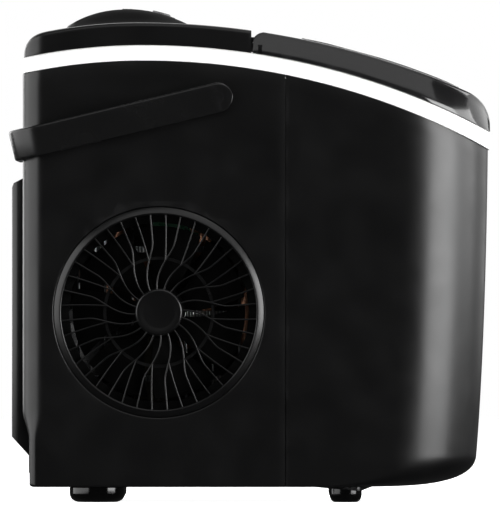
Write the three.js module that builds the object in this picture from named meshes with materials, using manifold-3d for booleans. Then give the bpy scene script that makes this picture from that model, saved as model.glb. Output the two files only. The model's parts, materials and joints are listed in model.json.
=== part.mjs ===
// Countertop ice maker, in millimetres. +Z is up and +X is the front, and the origin is at the
// middle of the footprint, on the surface that the feet stand on. Left is -Y and right is +Y.

import * as THREE from 'three';
import { mergeVertices } from 'three/addons/utils/BufferGeometryUtils.js';
import Module from 'manifold-3d';

const wasm = await Module();
wasm.setup();

const { PI, sin, cos, acos, sqrt } = Math;
const degrees = THREE.MathUtils.degToRad;

// ---------------------------------------------------------------- driving dimensions

const GAP = 0.3; // clearance between pieces that touch
const WALL = 2.5; // moulded housing wall
const FAR = 400; // reach of a cutting block, past every piece

// Housing
const REAR = -147.2;
const FRONT = 155;
const HALF_WIDTH = 105;
const UNDERSIDE = 10;
const SEAM = 23; // where the rear and front shells meet
const REAR_CORNER = 14; // plan radii of the vertical corners
const FRONT_CORNER = 56;
const REAR_TUCK = 4.4; // the rear face steps in by this much at its foot
const TUCK_LOW = 40;
const TUCK_HIGH = 60;
const TOE = 147.2; // front face where its lower corner starts
const TOE_HEIGHT = 31;
const TOE_START = 76; // where the underside starts to curve up to the toe
const FRONT_LEAN = 130; // height of the front face's bend

// Underneath and behind
const PAN = { rear: -138, front: 72, half: 98, thick: 3 };
const DRAIN = { x: 50, y: 0, neck: 9, slot: { wide: 2, deep: 2.5 } };
const GLAND = { y: 82, z: 24, neck: 5, flange: 7, bore: 3.5 };
const REAR_FOOT = { x: -99, y: 72, radius: 18 };
const FRONT_FOOT = { x: 62, y: 80, radius: 10.5 };
const FOOT_ROUND = 4.8;
const INTAKE = { half: 62, low: 64, high: 196 }; // the rear shell's opening behind the rear cover
const COVER = { half: 72, top: 209.9, low: 29.8, back: -154.5, wall: 2.2 };
const COVER_SLOTS = { rows: 9, low: 74, pitch: 14, height: 5, inner: 4, outer: 52 };
const SCREW = { y: 64, low: 56, high: 198, radius: 3, sunk: 1.8 };

// Curved top edges, each a crown of two arcs that share one peak
const BAND_TOP = { x: -69.3, z: 296.1, rear: 373, front: 478 };
const BAND_HEIGHT = 10;
const BAND_PROUD = 1;
const BAND_WALL = 3;
const RIDGE = { x: -72.5, z: 310.7, rear: 306, front: 535 };

// Control hump on the top cover
const HUMP = { x: -81.5, z: 320.3, rear: 68, front: 92 };
const HUMP_PLAN = { rear: -120, front: -38, half: 60, corner: 24 };
const PANEL_HALF_WIDTH = 46;
const PANEL_FROM = degrees(-1);
const PANEL_TO = degrees(21);
const PANEL_THICK = 2;
const BUTTON_ANGLE = degrees(15);
const BUTTON_RADIUS = 6;
const BUTTON_PLACES = [-28, 0, 28];
const LENS = { angle: degrees(5), length: 5, half: 34 };

// Lid
const LID_SPLIT = 0.9; // front edge of the top cover
const LID_FRONT = 156;
const NOSE = 24; // radius of the lid's front edge, in side view
const LID_WALL = 2.2;
const TOP_HALF_WIDTH = 104.8;
const HINGE = { x: 8.5, z: 297.5, radius: 6.8 };
const HINGE_EAR_Y = 80;
const PIN_RADIUS = 1.7;
const WINDOW = { rear: 33.5, front: 136, half: 80, rearCorner: 18, frontCorner: 42 };
const WINDOW_PROUD = 1;
const WINDOW_THICK = 3.6;

// Carrying handle
const PIVOT = { x: -21, z: 262.1, radius: 4 };
const HANDLE_SLOPE = degrees(13.4);
const HANDLE_REACH = 137;
const HANDLE_WIDTH = 20;
const HANDLE_THICK = 3.8;
const HANDLE_INNER = 107.6;
const HANDLE_CORNER = 20;

// Fan and its grille
const FAN = { x: -59, z: 123.2 };
const GRILLE_OUTER = 68;
const GRILLE_OPENING = 63.2;
const GRILLE_HUB = 15.3;
const VANES = 20;
const VANE_PITCH = (2 * PI) / VANES;
const VANE_WIDTH = 1.7;
const FIRST_VANE = degrees(49);
const SPLIT_RADIUS = 33.5; // where each vane branches
// Depths along Y: the rim stands proud of the housing, and the vanes are set back
const GRILLE = { rim: -HALF_WIDTH - 1.2, hub: -HALF_WIDTH + 0.4, vanes: -HALF_WIDTH + 1, back: -HALF_WIDTH + 4 };
const SHROUD = { wall: -HALF_WIDTH + WALL, lip: -98.7, back: -74, outer: 61, inner: 58.5, collar: 75 };
const FAN_BLADES = 7;
const FAN_RADIUS = 54;

// Ice bay
const TANK = { rear: 27, front: 138, half: 94, floor: 60, wall: 2.4, rearCorner: 8, frontCorner: 44 };
const FOAM = 4.5;
const BASKET = { rear: 70, front: 132, half: 84, floor: 146.3, top: 222, wall: 2, rearCorner: 8, frontCorner: 40 };
const TRAY = { x: 48.5, z: 208, inner: 16, outer: 18, half: 50 };
const FINGERS = 9;
const FINGER_RADIUS = 4;

// Compressor
const COMPRESSOR = { x: -92, y: 28, radius: 40, low: 31, high: 128 };

// ---------------------------------------------------------------- solids

function toSolid(geometry) {
  const bare = geometry.clone();
  bare.deleteAttribute('normal');
  bare.deleteAttribute('uv');
  const merged = mergeVertices(bare, 1e-4);
  const index = merged.index.array;
  const triangles = [];
  for (let i = 0; i < index.length; i += 3) {
    const [a, b, c] = index.slice(i, i + 3);
    if (a !== b && b !== c && c !== a) triangles.push(a, b, c);
  }
  return new wasm.Manifold(new wasm.Mesh({
    numProp: 3,
    vertProperties: merged.getAttribute('position').array,
    triVerts: new Uint32Array(triangles),
  }));
}

function toGeometry(solid) {
  const { vertProperties, triVerts } = solid.getMesh();
  const geometry = new THREE.BufferGeometry();
  geometry.setAttribute('position', new THREE.BufferAttribute(vertProperties, 3));
  geometry.setIndex(new THREE.BufferAttribute(triVerts, 1));
  const faceted = geometry.toNonIndexed();
  faceted.computeVertexNormals();
  return faceted;
}

const joined = (solids) => solids.reduce((whole, next) => whole.add(next));

function block(x0, x1, y0, y1, z0, z1) {
  const geometry = new THREE.BoxGeometry(x1 - x0, y1 - y0, z1 - z0);
  geometry.translate((x0 + x1) / 2, (y0 + y1) / 2, (z0 + z1) / 2);
  return toSolid(geometry);
}

// A block as wide on the left as on the right
const centredBlock = (x0, x1, half, z0, z1) => block(x0, x1, -half, half, z0, z1);

// A plan outline (X, Y) raised from z0 to z1
function planSlab(shape, z0, z1, curveSegments = 4) {
  const geometry = new THREE.ExtrudeGeometry(shape, { depth: z1 - z0, bevelEnabled: false, curveSegments });
  geometry.translate(0, 0, z0);
  return toSolid(geometry);
}

// A side outline (X, Z) drawn across from y0 to y1
function sideSlab(shape, y0, y1, curveSegments = 4) {
  const geometry = new THREE.ExtrudeGeometry(shape, { depth: y1 - y0, bevelEnabled: false, curveSegments });
  geometry.rotateX(PI / 2);
  geometry.translate(0, y1, 0);
  return toSolid(geometry);
}

// A round bar along one axis, centred on the other two values
function bar(axis, radius, from, to, across, up, sides = 14) {
  const geometry = new THREE.CylinderGeometry(radius, radius, to - from, sides);
  const middle = (from + to) / 2;
  if (axis === 'x') {
    geometry.rotateZ(PI / 2);
    geometry.translate(middle, across, up);
  } else if (axis === 'y') {
    geometry.translate(across, middle, up);
  } else {
    geometry.rotateX(PI / 2);
    geometry.translate(across, up, middle);
  }
  return toSolid(geometry);
}

// A turned piece: [radius, height] points round the Z axis, lowest first
function turned(profile, x, y, sides = 16) {
  const points = profile.map(([radius, height]) => new THREE.Vector2(radius, height));
  const geometry = new THREE.LatheGeometry(points, sides);
  geometry.rotateX(PI / 2);
  geometry.translate(x, y, 0);
  return toSolid(geometry);
}

// An eight-sided tube along a smooth route
function pipe(route, radius, steps) {
  const path = new THREE.CatmullRomCurve3(route.map(([x, y, z]) => new THREE.Vector3(x, y, z)));
  const section = new THREE.Shape();
  section.absarc(0, 0, radius, 0, 2 * PI);
  return toSolid(new THREE.ExtrudeGeometry(section, { steps, extrudePath: path, curveSegments: 4 }));
}

// ---------------------------------------------------------------- shared outlines

function crownHeight(crown, x) {
  const radius = x < crown.x ? crown.rear : crown.front;
  return crown.z - radius + sqrt(radius ** 2 - (x - crown.x) ** 2);
}

// The same crown, moved outwards along its radii
const raised = (crown, by) => ({
  x: crown.x,
  z: crown.z + by,
  rear: crown.rear + by,
  front: crown.front + by,
});

// Draws the crown's two arcs from the front end x1 back to the rear end x0
function crownArcs(shape, crown, x0, x1) {
  const start = acos((x1 - crown.x) / crown.front);
  const end = acos((x0 - crown.x) / crown.rear);
  shape.absarc(crown.x, crown.z - crown.front, crown.front, start, PI / 2);
  shape.absarc(crown.x, crown.z - crown.rear, crown.rear, PI / 2, end);
}

// Everything under a crown between x0 and x1, which reach past the housing unless they are given
function underCrown(crown, x0 = REAR - 20, x1 = FRONT + 20) {
  const shape = new THREE.Shape();
  shape.moveTo(x0, -FAR);
  shape.lineTo(x1, -FAR);
  crownArcs(shape, crown, x0, x1);
  return sideSlab(shape, -FAR, FAR);
}

// A rectangle in plan with one radius for its rear corners and one for its front corners
function roundedPlan(rear, front, half, rearCorner, frontCorner) {
  const shape = new THREE.Shape();
  shape.moveTo(rear + rearCorner, -half);
  shape.absarc(front - frontCorner, frontCorner - half, frontCorner, -PI / 2, 0);
  shape.absarc(front - frontCorner, half - frontCorner, frontCorner, 0, PI / 2);
  shape.absarc(rear + rearCorner, half - rearCorner, rearCorner, PI / 2, PI);
  shape.absarc(rear + rearCorner, rearCorner - half, rearCorner, PI, 1.5 * PI);
  return shape;
}

// The housing's plan, moved inwards by inset
const housingPlan = (inset) => roundedPlan(
  REAR + inset,
  FRONT - inset,
  HALF_WIDTH - inset,
  REAR_CORNER - inset,
  FRONT_CORNER - inset,
);

// The housing's side outline up to z = top, moved inwards by inset
function housingSide(inset, top) {
  const rear = REAR + inset;
  const tucked = rear + REAR_TUCK;
  const low = UNDERSIDE + inset;
  const front = FRONT - inset;
  const toe = TOE - inset;
  const heel = 4;
  const shape = new THREE.Shape();
  shape.moveTo(tucked + heel, low);
  shape.lineTo(TOE_START, low);
  shape.quadraticCurveTo(toe, low, toe, TOE_HEIGHT);
  shape.quadraticCurveTo(front, FRONT_LEAN, front, top);
  shape.lineTo(rear, top);
  shape.lineTo(rear, TUCK_HIGH);
  shape.bezierCurveTo(rear, TUCK_HIGH - 8, tucked, TUCK_LOW + 8, tucked, TUCK_LOW);
  shape.lineTo(tucked, low + heel);
  shape.quadraticCurveTo(tucked, low, tucked + heel, low);
  return shape;
}

function housingBlock(inset) {
  const top = 300;
  const side = sideSlab(housingSide(inset, top), -HALF_WIDTH, HALF_WIDTH, 6);
  return side.intersect(planSlab(housingPlan(inset), 0, top));
}

// ---------------------------------------------------------------- housing

// The housing's wall between x0 and x1, open at the top under the trim band
function housingShell(x0, x1) {
  const wall = housingBlock(0).subtract(housingBlock(WALL));
  const span = centredBlock(x0, x1, FAR, 0, FAR);
  return wall.intersect(span).intersect(underCrown(raised(BAND_TOP, -BAND_HEIGHT - GAP)));
}

// The window in the underside that the base pan fills
const panOpening = () => centredBlock(PAN.rear - GAP, PAN.front + GAP, PAN.half + GAP, 0, UNDERSIDE + 4);

function rearShell() {
  const grilleHole = bar('y', GRILLE_OUTER + GAP, -HALF_WIDTH - 5, -HALF_WIDTH + 10, FAN.x, FAN.z, 40);
  const pivotHole = bar('y', PIVOT.radius + GAP, -FAR, FAR, PIVOT.x, PIVOT.z, 16);
  const intake = centredBlock(REAR - 5, REAR + 10, INTAKE.half, INTAKE.low, INTAKE.high);
  const glandHole = bar('x', GLAND.neck + GAP, REAR - 5, REAR + 15, GLAND.y, GLAND.z, 16);
  return housingShell(REAR - 5, SEAM - GAP)
    .subtract(grilleHole)
    .subtract(pivotHole)
    .subtract(intake)
    .subtract(glandHole)
    .subtract(panOpening());
}

const frontShell = () => housingShell(SEAM + GAP, FRONT + 5).subtract(panOpening());

// A moulded pan with two banks of air slots
function basePan() {
  const outline = roundedPlan(PAN.rear, PAN.front, PAN.half, 8, 4);
  let pan = planSlab(outline, UNDERSIDE, UNDERSIDE + PAN.thick, 4);
  for (const y of [-30, 34]) {
    for (let slot = 0; slot < 5; slot += 1) {
      const x = -30 + slot * 11;
      pan = pan.subtract(block(x, x + 5, y - 14, y + 14, 0, FAR));
    }
  }
  return pan.subtract(bar('z', DRAIN.neck + GAP, 0, FAR, DRAIN.x, DRAIN.y, 24));
}

function trimBand() {
  const ring = (inset) => planSlab(roundedPlan(
    REAR - 0.2 + inset,
    FRONT + BAND_PROUD + 0.6 - inset,
    HALF_WIDTH + BAND_PROUD - inset,
    REAR_CORNER + BAND_PROUD - inset,
    FRONT_CORNER + BAND_PROUD - inset,
  ), 0, FAR);
  return ring(0)
    .subtract(ring(BAND_WALL))
    .intersect(underCrown(BAND_TOP))
    .subtract(underCrown(raised(BAND_TOP, -BAND_HEIGHT)));
}

// A round plug, flush with the underside, with a coin slot across it
function drainPlug() {
  const { wide, deep } = DRAIN.slot;
  const plug = bar('z', DRAIN.neck, UNDERSIDE, 24, DRAIN.x, DRAIN.y);
  return plug.subtract(centredBlock(DRAIN.x - wide / 2, DRAIN.x + wide / 2, FAR, 0, UNDERSIDE + deep));
}

// A ring with an outer flange, for a power lead to leave through
function cordGland() {
  const face = REAR + REAR_TUCK;
  const flange = bar('x', GLAND.flange, face - 2.5, face - GAP, GLAND.y, GLAND.z);
  const neck = bar('x', GLAND.neck, face - 1, face + 6, GLAND.y, GLAND.z);
  return flange.add(neck).subtract(bar('x', GLAND.bore, -FAR, 0, GLAND.y, GLAND.z, 16));
}

// A turned foot with straight sides that round in to its pad
const foot = (x, y, radius) => turned([
  [0, 0],
  [radius - FOOT_ROUND, 0],
  [radius - FOOT_ROUND * (1 - sin(PI / 4)), FOOT_ROUND * (1 - cos(PI / 4))],
  [radius, FOOT_ROUND],
  [radius, UNDERSIDE - GAP],
  [0, UNDERSIDE - GAP],
], x, y);

// Side outline of the rear cover, whose inner face follows the housing's tuck
function coverSide(inset) {
  const back = COVER.back + inset;
  const rear = REAR - GAP;
  const tucked = rear + REAR_TUCK;
  const shape = new THREE.Shape();
  shape.moveTo(tucked, COVER.low + inset);
  shape.lineTo(tucked, TUCK_LOW);
  shape.bezierCurveTo(tucked, TUCK_LOW + 8, rear, TUCK_HIGH - 8, rear, TUCK_HIGH);
  shape.lineTo(rear, COVER.top - inset);
  shape.lineTo(back + 1.2, COVER.top - 3 - inset);
  shape.lineTo(back, COVER.top - 6 - inset);
  shape.lineTo(back, 42.4 + inset);
  return shape;
}

function rearCover() {
  const plan = planSlab(roundedPlan(COVER.back, REAR + 20, COVER.half, 4, 1), 0, FAR, 4);
  let cover = sideSlab(coverSide(0), -FAR, FAR, 4).intersect(plan);
  const hollow = centredBlock(COVER.back + COVER.wall, REAR + 20, COVER.half - 14, INTAKE.low + 2, COVER.top - 6);
  cover = cover.subtract(hollow);
  const { rows, low, pitch, height, inner, outer } = COVER_SLOTS;
  for (let row = 0; row < rows; row += 1) {
    const z = low + row * pitch;
    cover = cover.subtract(block(COVER.back - 5, REAR, -outer, -inner, z, z + height));
    cover = cover.subtract(block(COVER.back - 5, REAR, inner, outer, z, z + height));
  }
  for (const y of [-SCREW.y, SCREW.y]) {
    for (const z of [SCREW.low, SCREW.high]) {
      cover = cover.subtract(bar('x', SCREW.radius + 0.6, COVER.back - 1, COVER.back + SCREW.sunk, y, z));
    }
  }
  return cover;
}

// A pan-head screw seated in its counterbore in the rear cover
function coverScrew(y, z) {
  const geometry = new THREE.LatheGeometry([
    new THREE.Vector2(0, 0),
    new THREE.Vector2(SCREW.radius, 0),
    new THREE.Vector2(SCREW.radius - 0.6, 1.2),
    new THREE.Vector2(0, 1.5),
  ], 8);
  geometry.rotateZ(PI / 2);
  geometry.translate(COVER.back + SCREW.sunk - GAP, y, z);
  return toSolid(geometry);
}

// ---------------------------------------------------------------- top cover and controls

function coverTopSide(inset) {
  const rear = REAR + 0.8 + inset;
  const ridge = raised(RIDGE, -inset);
  const shoulder = -128 + inset / 2;
  const shape = new THREE.Shape();
  shape.moveTo(rear, 200);
  shape.lineTo(LID_SPLIT - inset, 200);
  crownArcs(shape, ridge, shoulder, LID_SPLIT - inset);
  shape.quadraticCurveTo(rear + 2, crownHeight(ridge, shoulder) - 1.5, rear, 289);
  return shape;
}

function coverTopBlock(inset) {
  const plan = roundedPlan(REAR + 0.8 + inset, FRONT, TOP_HALF_WIDTH - inset, REAR_CORNER - inset, 1);
  return sideSlab(coverTopSide(inset), -FAR, FAR).intersect(planSlab(plan, 0, FAR, 3));
}

// The raised pod that carries the controls
function humpBlock(inset) {
  const rear = HUMP_PLAN.rear + inset;
  const front = HUMP_PLAN.front - inset;
  const corner = HUMP_PLAN.corner - inset;
  const plan = roundedPlan(rear, front, HUMP_PLAN.half - inset, corner, corner);
  return underCrown(raised(HUMP, -inset), rear - 1, front + 1).intersect(planSlab(plan, 290, FAR, 3));
}

// A slab that follows the hump's front slope: from one angle to another, between two depths
function slopeSlab(from, to, half, depth0, depth1) {
  const centre = HUMP.z - HUMP.front;
  const outer = HUMP.front - depth0;
  const inner = HUMP.front - depth1;
  const shape = new THREE.Shape();
  shape.absarc(HUMP.x, centre, inner, PI / 2 - to, PI / 2 - from);
  shape.absarc(HUMP.x, centre, outer, PI / 2 - from, PI / 2 - to, true);
  return sideSlab(shape, -half, half, 3);
}

// Places a solid, drawn with the hump's front surface at z = 0, at an angle round the slope
function onSlope(solid, angle, y) {
  const geometry = toGeometry(solid);
  geometry.translate(0, y, HUMP.front);
  geometry.rotateY(angle);
  geometry.translate(HUMP.x, 0, HUMP.z - HUMP.front);
  return toSolid(geometry);
}

// A rounded ear that holds a hinge pin in front of the top cover
function hingeEar(y) {
  const half = 3;
  const radius = 4;
  const arm = block(LID_SPLIT - WALL, HINGE.x, y - half, y + half, HINGE.z - radius, HINGE.z + radius);
  const knuckle = bar('y', radius, y - half, y + half, HINGE.x, HINGE.z);
  return arm.add(knuckle).subtract(bar('y', PIN_RADIUS + GAP, y - 9, y + 9, HINGE.x, HINGE.z, 16));
}

function topCover() {
  const underside = underCrown(raised(BAND_TOP, GAP));
  const panelHole = slopeSlab(
    PANEL_FROM - GAP / HUMP.front,
    PANEL_TO + GAP / HUMP.front,
    PANEL_HALF_WIDTH + GAP,
    -10,
    20,
  );
  return coverTopBlock(0)
    .add(humpBlock(0))
    .subtract(coverTopBlock(WALL).add(humpBlock(WALL)))
    .subtract(underside)
    .subtract(panelHole)
    .add(hingeEar(HINGE_EAR_Y))
    .add(hingeEar(-HINGE_EAR_Y));
}

function controlPanel() {
  let panel = slopeSlab(PANEL_FROM, PANEL_TO, PANEL_HALF_WIDTH, 0, PANEL_THICK);
  for (const y of BUTTON_PLACES) {
    panel = panel.subtract(onSlope(bar('z', BUTTON_RADIUS + GAP, -8, 8, 0, 0), BUTTON_ANGLE, y));
  }
  const lensHole = centredBlock(-LENS.length - GAP, LENS.length + GAP, LENS.half + GAP, -8, 8);
  return panel.subtract(onSlope(lensHole, LENS.angle, 0));
}

const indicatorLens = () => onSlope(
  centredBlock(-LENS.length, LENS.length, LENS.half, -PANEL_THICK, -0.2),
  LENS.angle,
  0,
);

// A round cap that stands just proud of the panel, kept in by a flange under it
const panelButton = (y) => onSlope(turned([
  [0, -5],
  [BUTTON_RADIUS + 1.4, -5],
  [BUTTON_RADIUS + 1.4, -3.6],
  [BUTTON_RADIUS, -3.6],
  [BUTTON_RADIUS, 0.4],
  [BUTTON_RADIUS - 0.8, 1],
  [0, 1],
], 0, 0, 14), BUTTON_ANGLE, y);

// A tilted circuit board under the panel, with a tact switch under each button
function controlBoard() {
  const board = centredBlock(-19, 19, 44, -11, -9.4);
  const switches = BUTTON_PLACES.map((y) => block(6, 12, y - 3, y + 3, -9.6, -7.3));
  return onSlope(joined([board, ...switches]), degrees(10), 0);
}

// ---------------------------------------------------------------- lid

// The nose arc lies inside the ridge's front arc and touches it
const noseReach = LID_FRONT - NOSE - RIDGE.x;
const noseHeight = RIDGE.z - RIDGE.front + sqrt((RIDGE.front - NOSE) ** 2 - noseReach ** 2);
const noseTurn = acos(noseReach / (RIDGE.front - NOSE));

// The lid's side outline: the ridge, its rounded nose, and a rear edge that turns on the hinge
function lidSide(inset) {
  const ridge = raised(RIDGE, -inset);
  const front = LID_FRONT - inset;
  const end = acos((HINGE.x - ridge.x) / ridge.front);
  const shape = new THREE.Shape();
  shape.moveTo(HINGE.x, 200);
  shape.lineTo(front, 200);
  shape.lineTo(front, noseHeight);
  shape.absarc(LID_FRONT - NOSE, noseHeight, NOSE - inset, 0, noseTurn);
  shape.absarc(ridge.x, ridge.z - ridge.front, ridge.front, noseTurn, end);
  shape.absarc(HINGE.x, HINGE.z, HINGE.radius - inset, PI / 2, 1.5 * PI);
  return shape;
}

function lidBlock(inset) {
  const plan = roundedPlan(REAR, LID_FRONT - inset, TOP_HALF_WIDTH - inset, 1, FRONT_CORNER + 0.5 - inset);
  return sideSlab(lidSide(inset), -FAR, FAR).intersect(planSlab(plan, 0, FAR));
}

const windowPlan = (margin) => roundedPlan(
  WINDOW.rear - margin,
  WINDOW.front + margin,
  WINDOW.half + margin,
  WINDOW.rearCorner + margin,
  WINDOW.frontCorner + margin,
);

function lidFrame() {
  const underside = underCrown(raised(BAND_TOP, 2 * GAP));
  const pinHole = bar('y', PIN_RADIUS + GAP, -95, 95, HINGE.x, HINGE.z, 16);
  let frame = lidBlock(0)
    .subtract(lidBlock(LID_WALL))
    .subtract(underside)
    .subtract(planSlab(windowPlan(GAP), 250, FAR));
  for (const side of [-1, 1]) {
    const middle = side * HINGE_EAR_Y;
    frame = frame.add(bar('y', HINGE.radius - 1, middle - 12, middle + 12, HINGE.x, HINGE.z));
    frame = frame.subtract(block(-FAR, HINGE.x + 6.5, middle - 3.6, middle + 3.6, 200, FAR));
  }
  return frame.subtract(pinHole);
}

const lidWindow = () => planSlab(windowPlan(0), 200, FAR)
  .intersect(underCrown(raised(RIDGE, WINDOW_PROUD)))
  .subtract(underCrown(raised(RIDGE, WINDOW_PROUD - WINDOW_THICK)));

const hingePin = (y) => bar('y', PIN_RADIUS, y - 10, y + 10, HINGE.x, HINGE.z, 8);

// ---------------------------------------------------------------- carrying handle

// A flat band bent into a U, drawn with its pivots at the origin and its arms along -X
function handleBand() {
  const outerHalf = HANDLE_INNER + HANDLE_THICK;
  const front = HANDLE_WIDTH / 2 + 5;
  const outer = roundedPlan(-HANDLE_REACH, front, outerHalf, HANDLE_CORNER, 1);
  const inner = roundedPlan(
    HANDLE_THICK - HANDLE_REACH,
    front + 5,
    HANDLE_INNER,
    HANDLE_CORNER - HANDLE_THICK,
    1,
  );
  const half = HANDLE_WIDTH / 2;
  const side = new THREE.Shape();
  side.moveTo(-HANDLE_REACH - 1, -half);
  side.lineTo(0, -half);
  side.absarc(0, 0, half, -PI / 2, PI / 2);
  side.lineTo(-HANDLE_REACH - 1, half);
  return planSlab(outer, -half, half)
    .subtract(planSlab(inner, -half - 1, half + 1))
    .intersect(sideSlab(side, -FAR, FAR))
    .subtract(bar('y', PIVOT.radius + GAP, -FAR, FAR, 0, 0, 20));
}

// A headless pin through the handle's arm into the housing
function handlePivot(side) {
  const inner = side * (HALF_WIDTH - WALL - 4);
  const outer = side * (HANDLE_INNER + HANDLE_THICK);
  return bar('y', PIVOT.radius, Math.min(inner, outer), Math.max(inner, outer), PIVOT.x, PIVOT.z);
}

// ---------------------------------------------------------------- fan grille and fan

// How far a main vane has swept clockwise at a radius, from its root on the hub
const vaneSweep = (radius) => degrees(18) * THREE.MathUtils.smoothstep(radius, GRILLE_HUB - 2, 46);

// The branch leaves its main vane at the split and bends the other way
function branchSweep(radius) {
  const root = vaneSweep(SPLIT_RADIUS);
  return root + (degrees(9) - root) * ((radius - SPLIT_RADIUS) / (GRILLE_OPENING - SPLIT_RADIUS));
}

// A hole edge along a vane: sweep gives the vane's centre line, and side moves off it
function vaneEdge(sweep, from, to, side, steps) {
  const points = [];
  for (let step = 0; step <= steps; step += 1) {
    const radius = from + ((to - from) * step) / steps;
    const angle = sweep(radius) + (side * VANE_WIDTH) / 2 / radius;
    points.push(new THREE.Vector2(radius * cos(angle), -radius * sin(angle)));
  }
  return points;
}

function grilleHole(edges, turn) {
  const points = edges.flat().map((point) => point.clone().rotateAround(new THREE.Vector2(), turn));
  return new THREE.Path(points);
}

// A disc of swirling vanes in X and Z: every hole is the space between two vanes
function vaneDisc() {
  const inner = GRILLE_HUB - 1;
  const outer = GRILLE_OPENING + 1;
  const split = SPLIT_RADIUS + 5;
  const previousMain = (radius) => vaneSweep(radius) - VANE_PITCH;
  const disc = new THREE.Shape();
  disc.absarc(0, 0, outer + 2, 0, 2 * PI);
  for (let vane = 0; vane < VANES; vane += 1) {
    const turn = -FIRST_VANE - vane * VANE_PITCH;
    disc.holes.push(grilleHole([
      vaneEdge(previousMain, inner, outer, 1, 4),
      vaneEdge(branchSweep, outer, SPLIT_RADIUS, -1, 1),
      vaneEdge(vaneSweep, SPLIT_RADIUS, inner, -1, 2),
    ], turn));
    disc.holes.push(grilleHole([
      vaneEdge(branchSweep, split, outer, 1, 1),
      vaneEdge(vaneSweep, outer, split, -1, 2),
    ], turn));
  }
  return disc;
}

// A flat ring or tube round the fan's axis, between two radii
function fanRing(outer, inner, y0, y1, sides = 40) {
  const hole = bar('y', inner, y0 - 1, y1 + 1, FAN.x, FAN.z, sides);
  return bar('y', outer, y0, y1, FAN.x, FAN.z, sides).subtract(hole);
}

function fanGrille() {
  const vanes = sideSlab(vaneDisc(), GRILLE.vanes, GRILLE.back, 20);
  const disc = toGeometry(vanes);
  disc.translate(FAN.x, 0, FAN.z);
  return joined([
    toSolid(disc),
    fanRing(GRILLE_OUTER, GRILLE_OPENING, GRILLE.rim, GRILLE.back),
    fanRing(SPLIT_RADIUS + 2.5, SPLIT_RADIUS + 0.5, GRILLE.back, GRILLE.back + 1.6, 24),
    bar('y', GRILLE_HUB, GRILLE.hub, GRILLE.back, FAN.x, FAN.z, 20),
  ]);
}

// A duct round the fan, with a collar against the housing and four struts that hold the motor
function fanShroud() {
  const struts = [0, 1, 2, 3].map((quarter) => {
    const geometry = new THREE.BoxGeometry(SHROUD.outer - 12, 2.5, 7);
    geometry.translate(SHROUD.outer / 2 + 4, 0, 0);
    geometry.rotateY(degrees(40) + (quarter * PI) / 2);
    geometry.translate(FAN.x, SHROUD.back - 1.25, FAN.z);
    return toSolid(geometry);
  });
  return joined([
    fanRing(SHROUD.collar, SHROUD.collar - 5, SHROUD.wall + GAP, SHROUD.lip, 24),
    fanRing(SHROUD.collar, SHROUD.inner, SHROUD.lip - 1.5, SHROUD.lip, 24),
    fanRing(SHROUD.outer, SHROUD.inner, SHROUD.lip - 1, SHROUD.back, 24),
    bar('y', 17, SHROUD.back - 2.5, SHROUD.back, FAN.x, FAN.z),
    ...struts,
  ]);
}

const fanMotor = () => bar('y', 14, SHROUD.back - 9, SHROUD.back - 2.5 - GAP, FAN.x, FAN.z);

// A hub with pitched blades, open at the back over the motor
function fanBlade() {
  const front = SHROUD.back - 20;
  const hubRadius = 17;
  const hub = bar('y', hubRadius, front, front + 12, FAN.x, FAN.z)
    .subtract(bar('y', 15, front + 2, front + 13, FAN.x, FAN.z));
  const sector = new THREE.Shape();
  sector.absarc(0, 0, FAN_RADIUS, degrees(-17), degrees(17));
  sector.absarc(0, 0, hubRadius - 1, degrees(14), degrees(-14), true);
  const blades = [];
  for (let blade = 0; blade < FAN_BLADES; blade += 1) {
    const geometry = new THREE.ExtrudeGeometry(sector, { depth: 1.4, bevelEnabled: false, curveSegments: 1 });
    geometry.rotateX(PI / 2 + degrees(20));
    geometry.rotateY((blade * 2 * PI) / FAN_BLADES);
    geometry.translate(FAN.x, front + 6.4, FAN.z);
    blades.push(toSolid(geometry));
  }
  const clear = bar('y', 15, front + 2, front + 30, FAN.x, FAN.z);
  return joined([hub, ...blades]).subtract(clear);
}

// ---------------------------------------------------------------- ice bay

const tankPlan = (inset) => roundedPlan(
  TANK.rear + inset,
  TANK.front - inset,
  TANK.half - inset,
  TANK.rearCorner - inset,
  TANK.frontCorner - inset,
);

const tankBlock = (inset, floor, top) => planSlab(tankPlan(inset), floor, top, 3);

const EVAPORATOR = { low: 230, high: 238, rear: TRAY.x - 6, front: TRAY.x + 6, half: 50 };
const SUCTION = { y: 30, radius: 3.5 };
const HOT_GAS = { y: 8, radius: 2.5 };
const CAPILLARY = { y: -30, radius: 1.5 };
const LINE_HEIGHT = (EVAPORATOR.low + EVAPORATOR.high) / 2;
const HOSE = { y: 0, z: 252, radius: 4 };

// Holes through the rear of the ice bay for its refrigerant lines and its water hose
const serviceHoles = () => joined([
  ...[SUCTION, HOT_GAS, CAPILLARY].map((line) => (
    bar('x', line.radius + 1, SEAM - 2, TANK.rear + 6, line.y, LINE_HEIGHT, 12)
  )),
  bar('x', HOSE.radius + 1, SEAM - 2, TANK.rear + 6, HOSE.y, HOSE.z, 12),
]);

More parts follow.
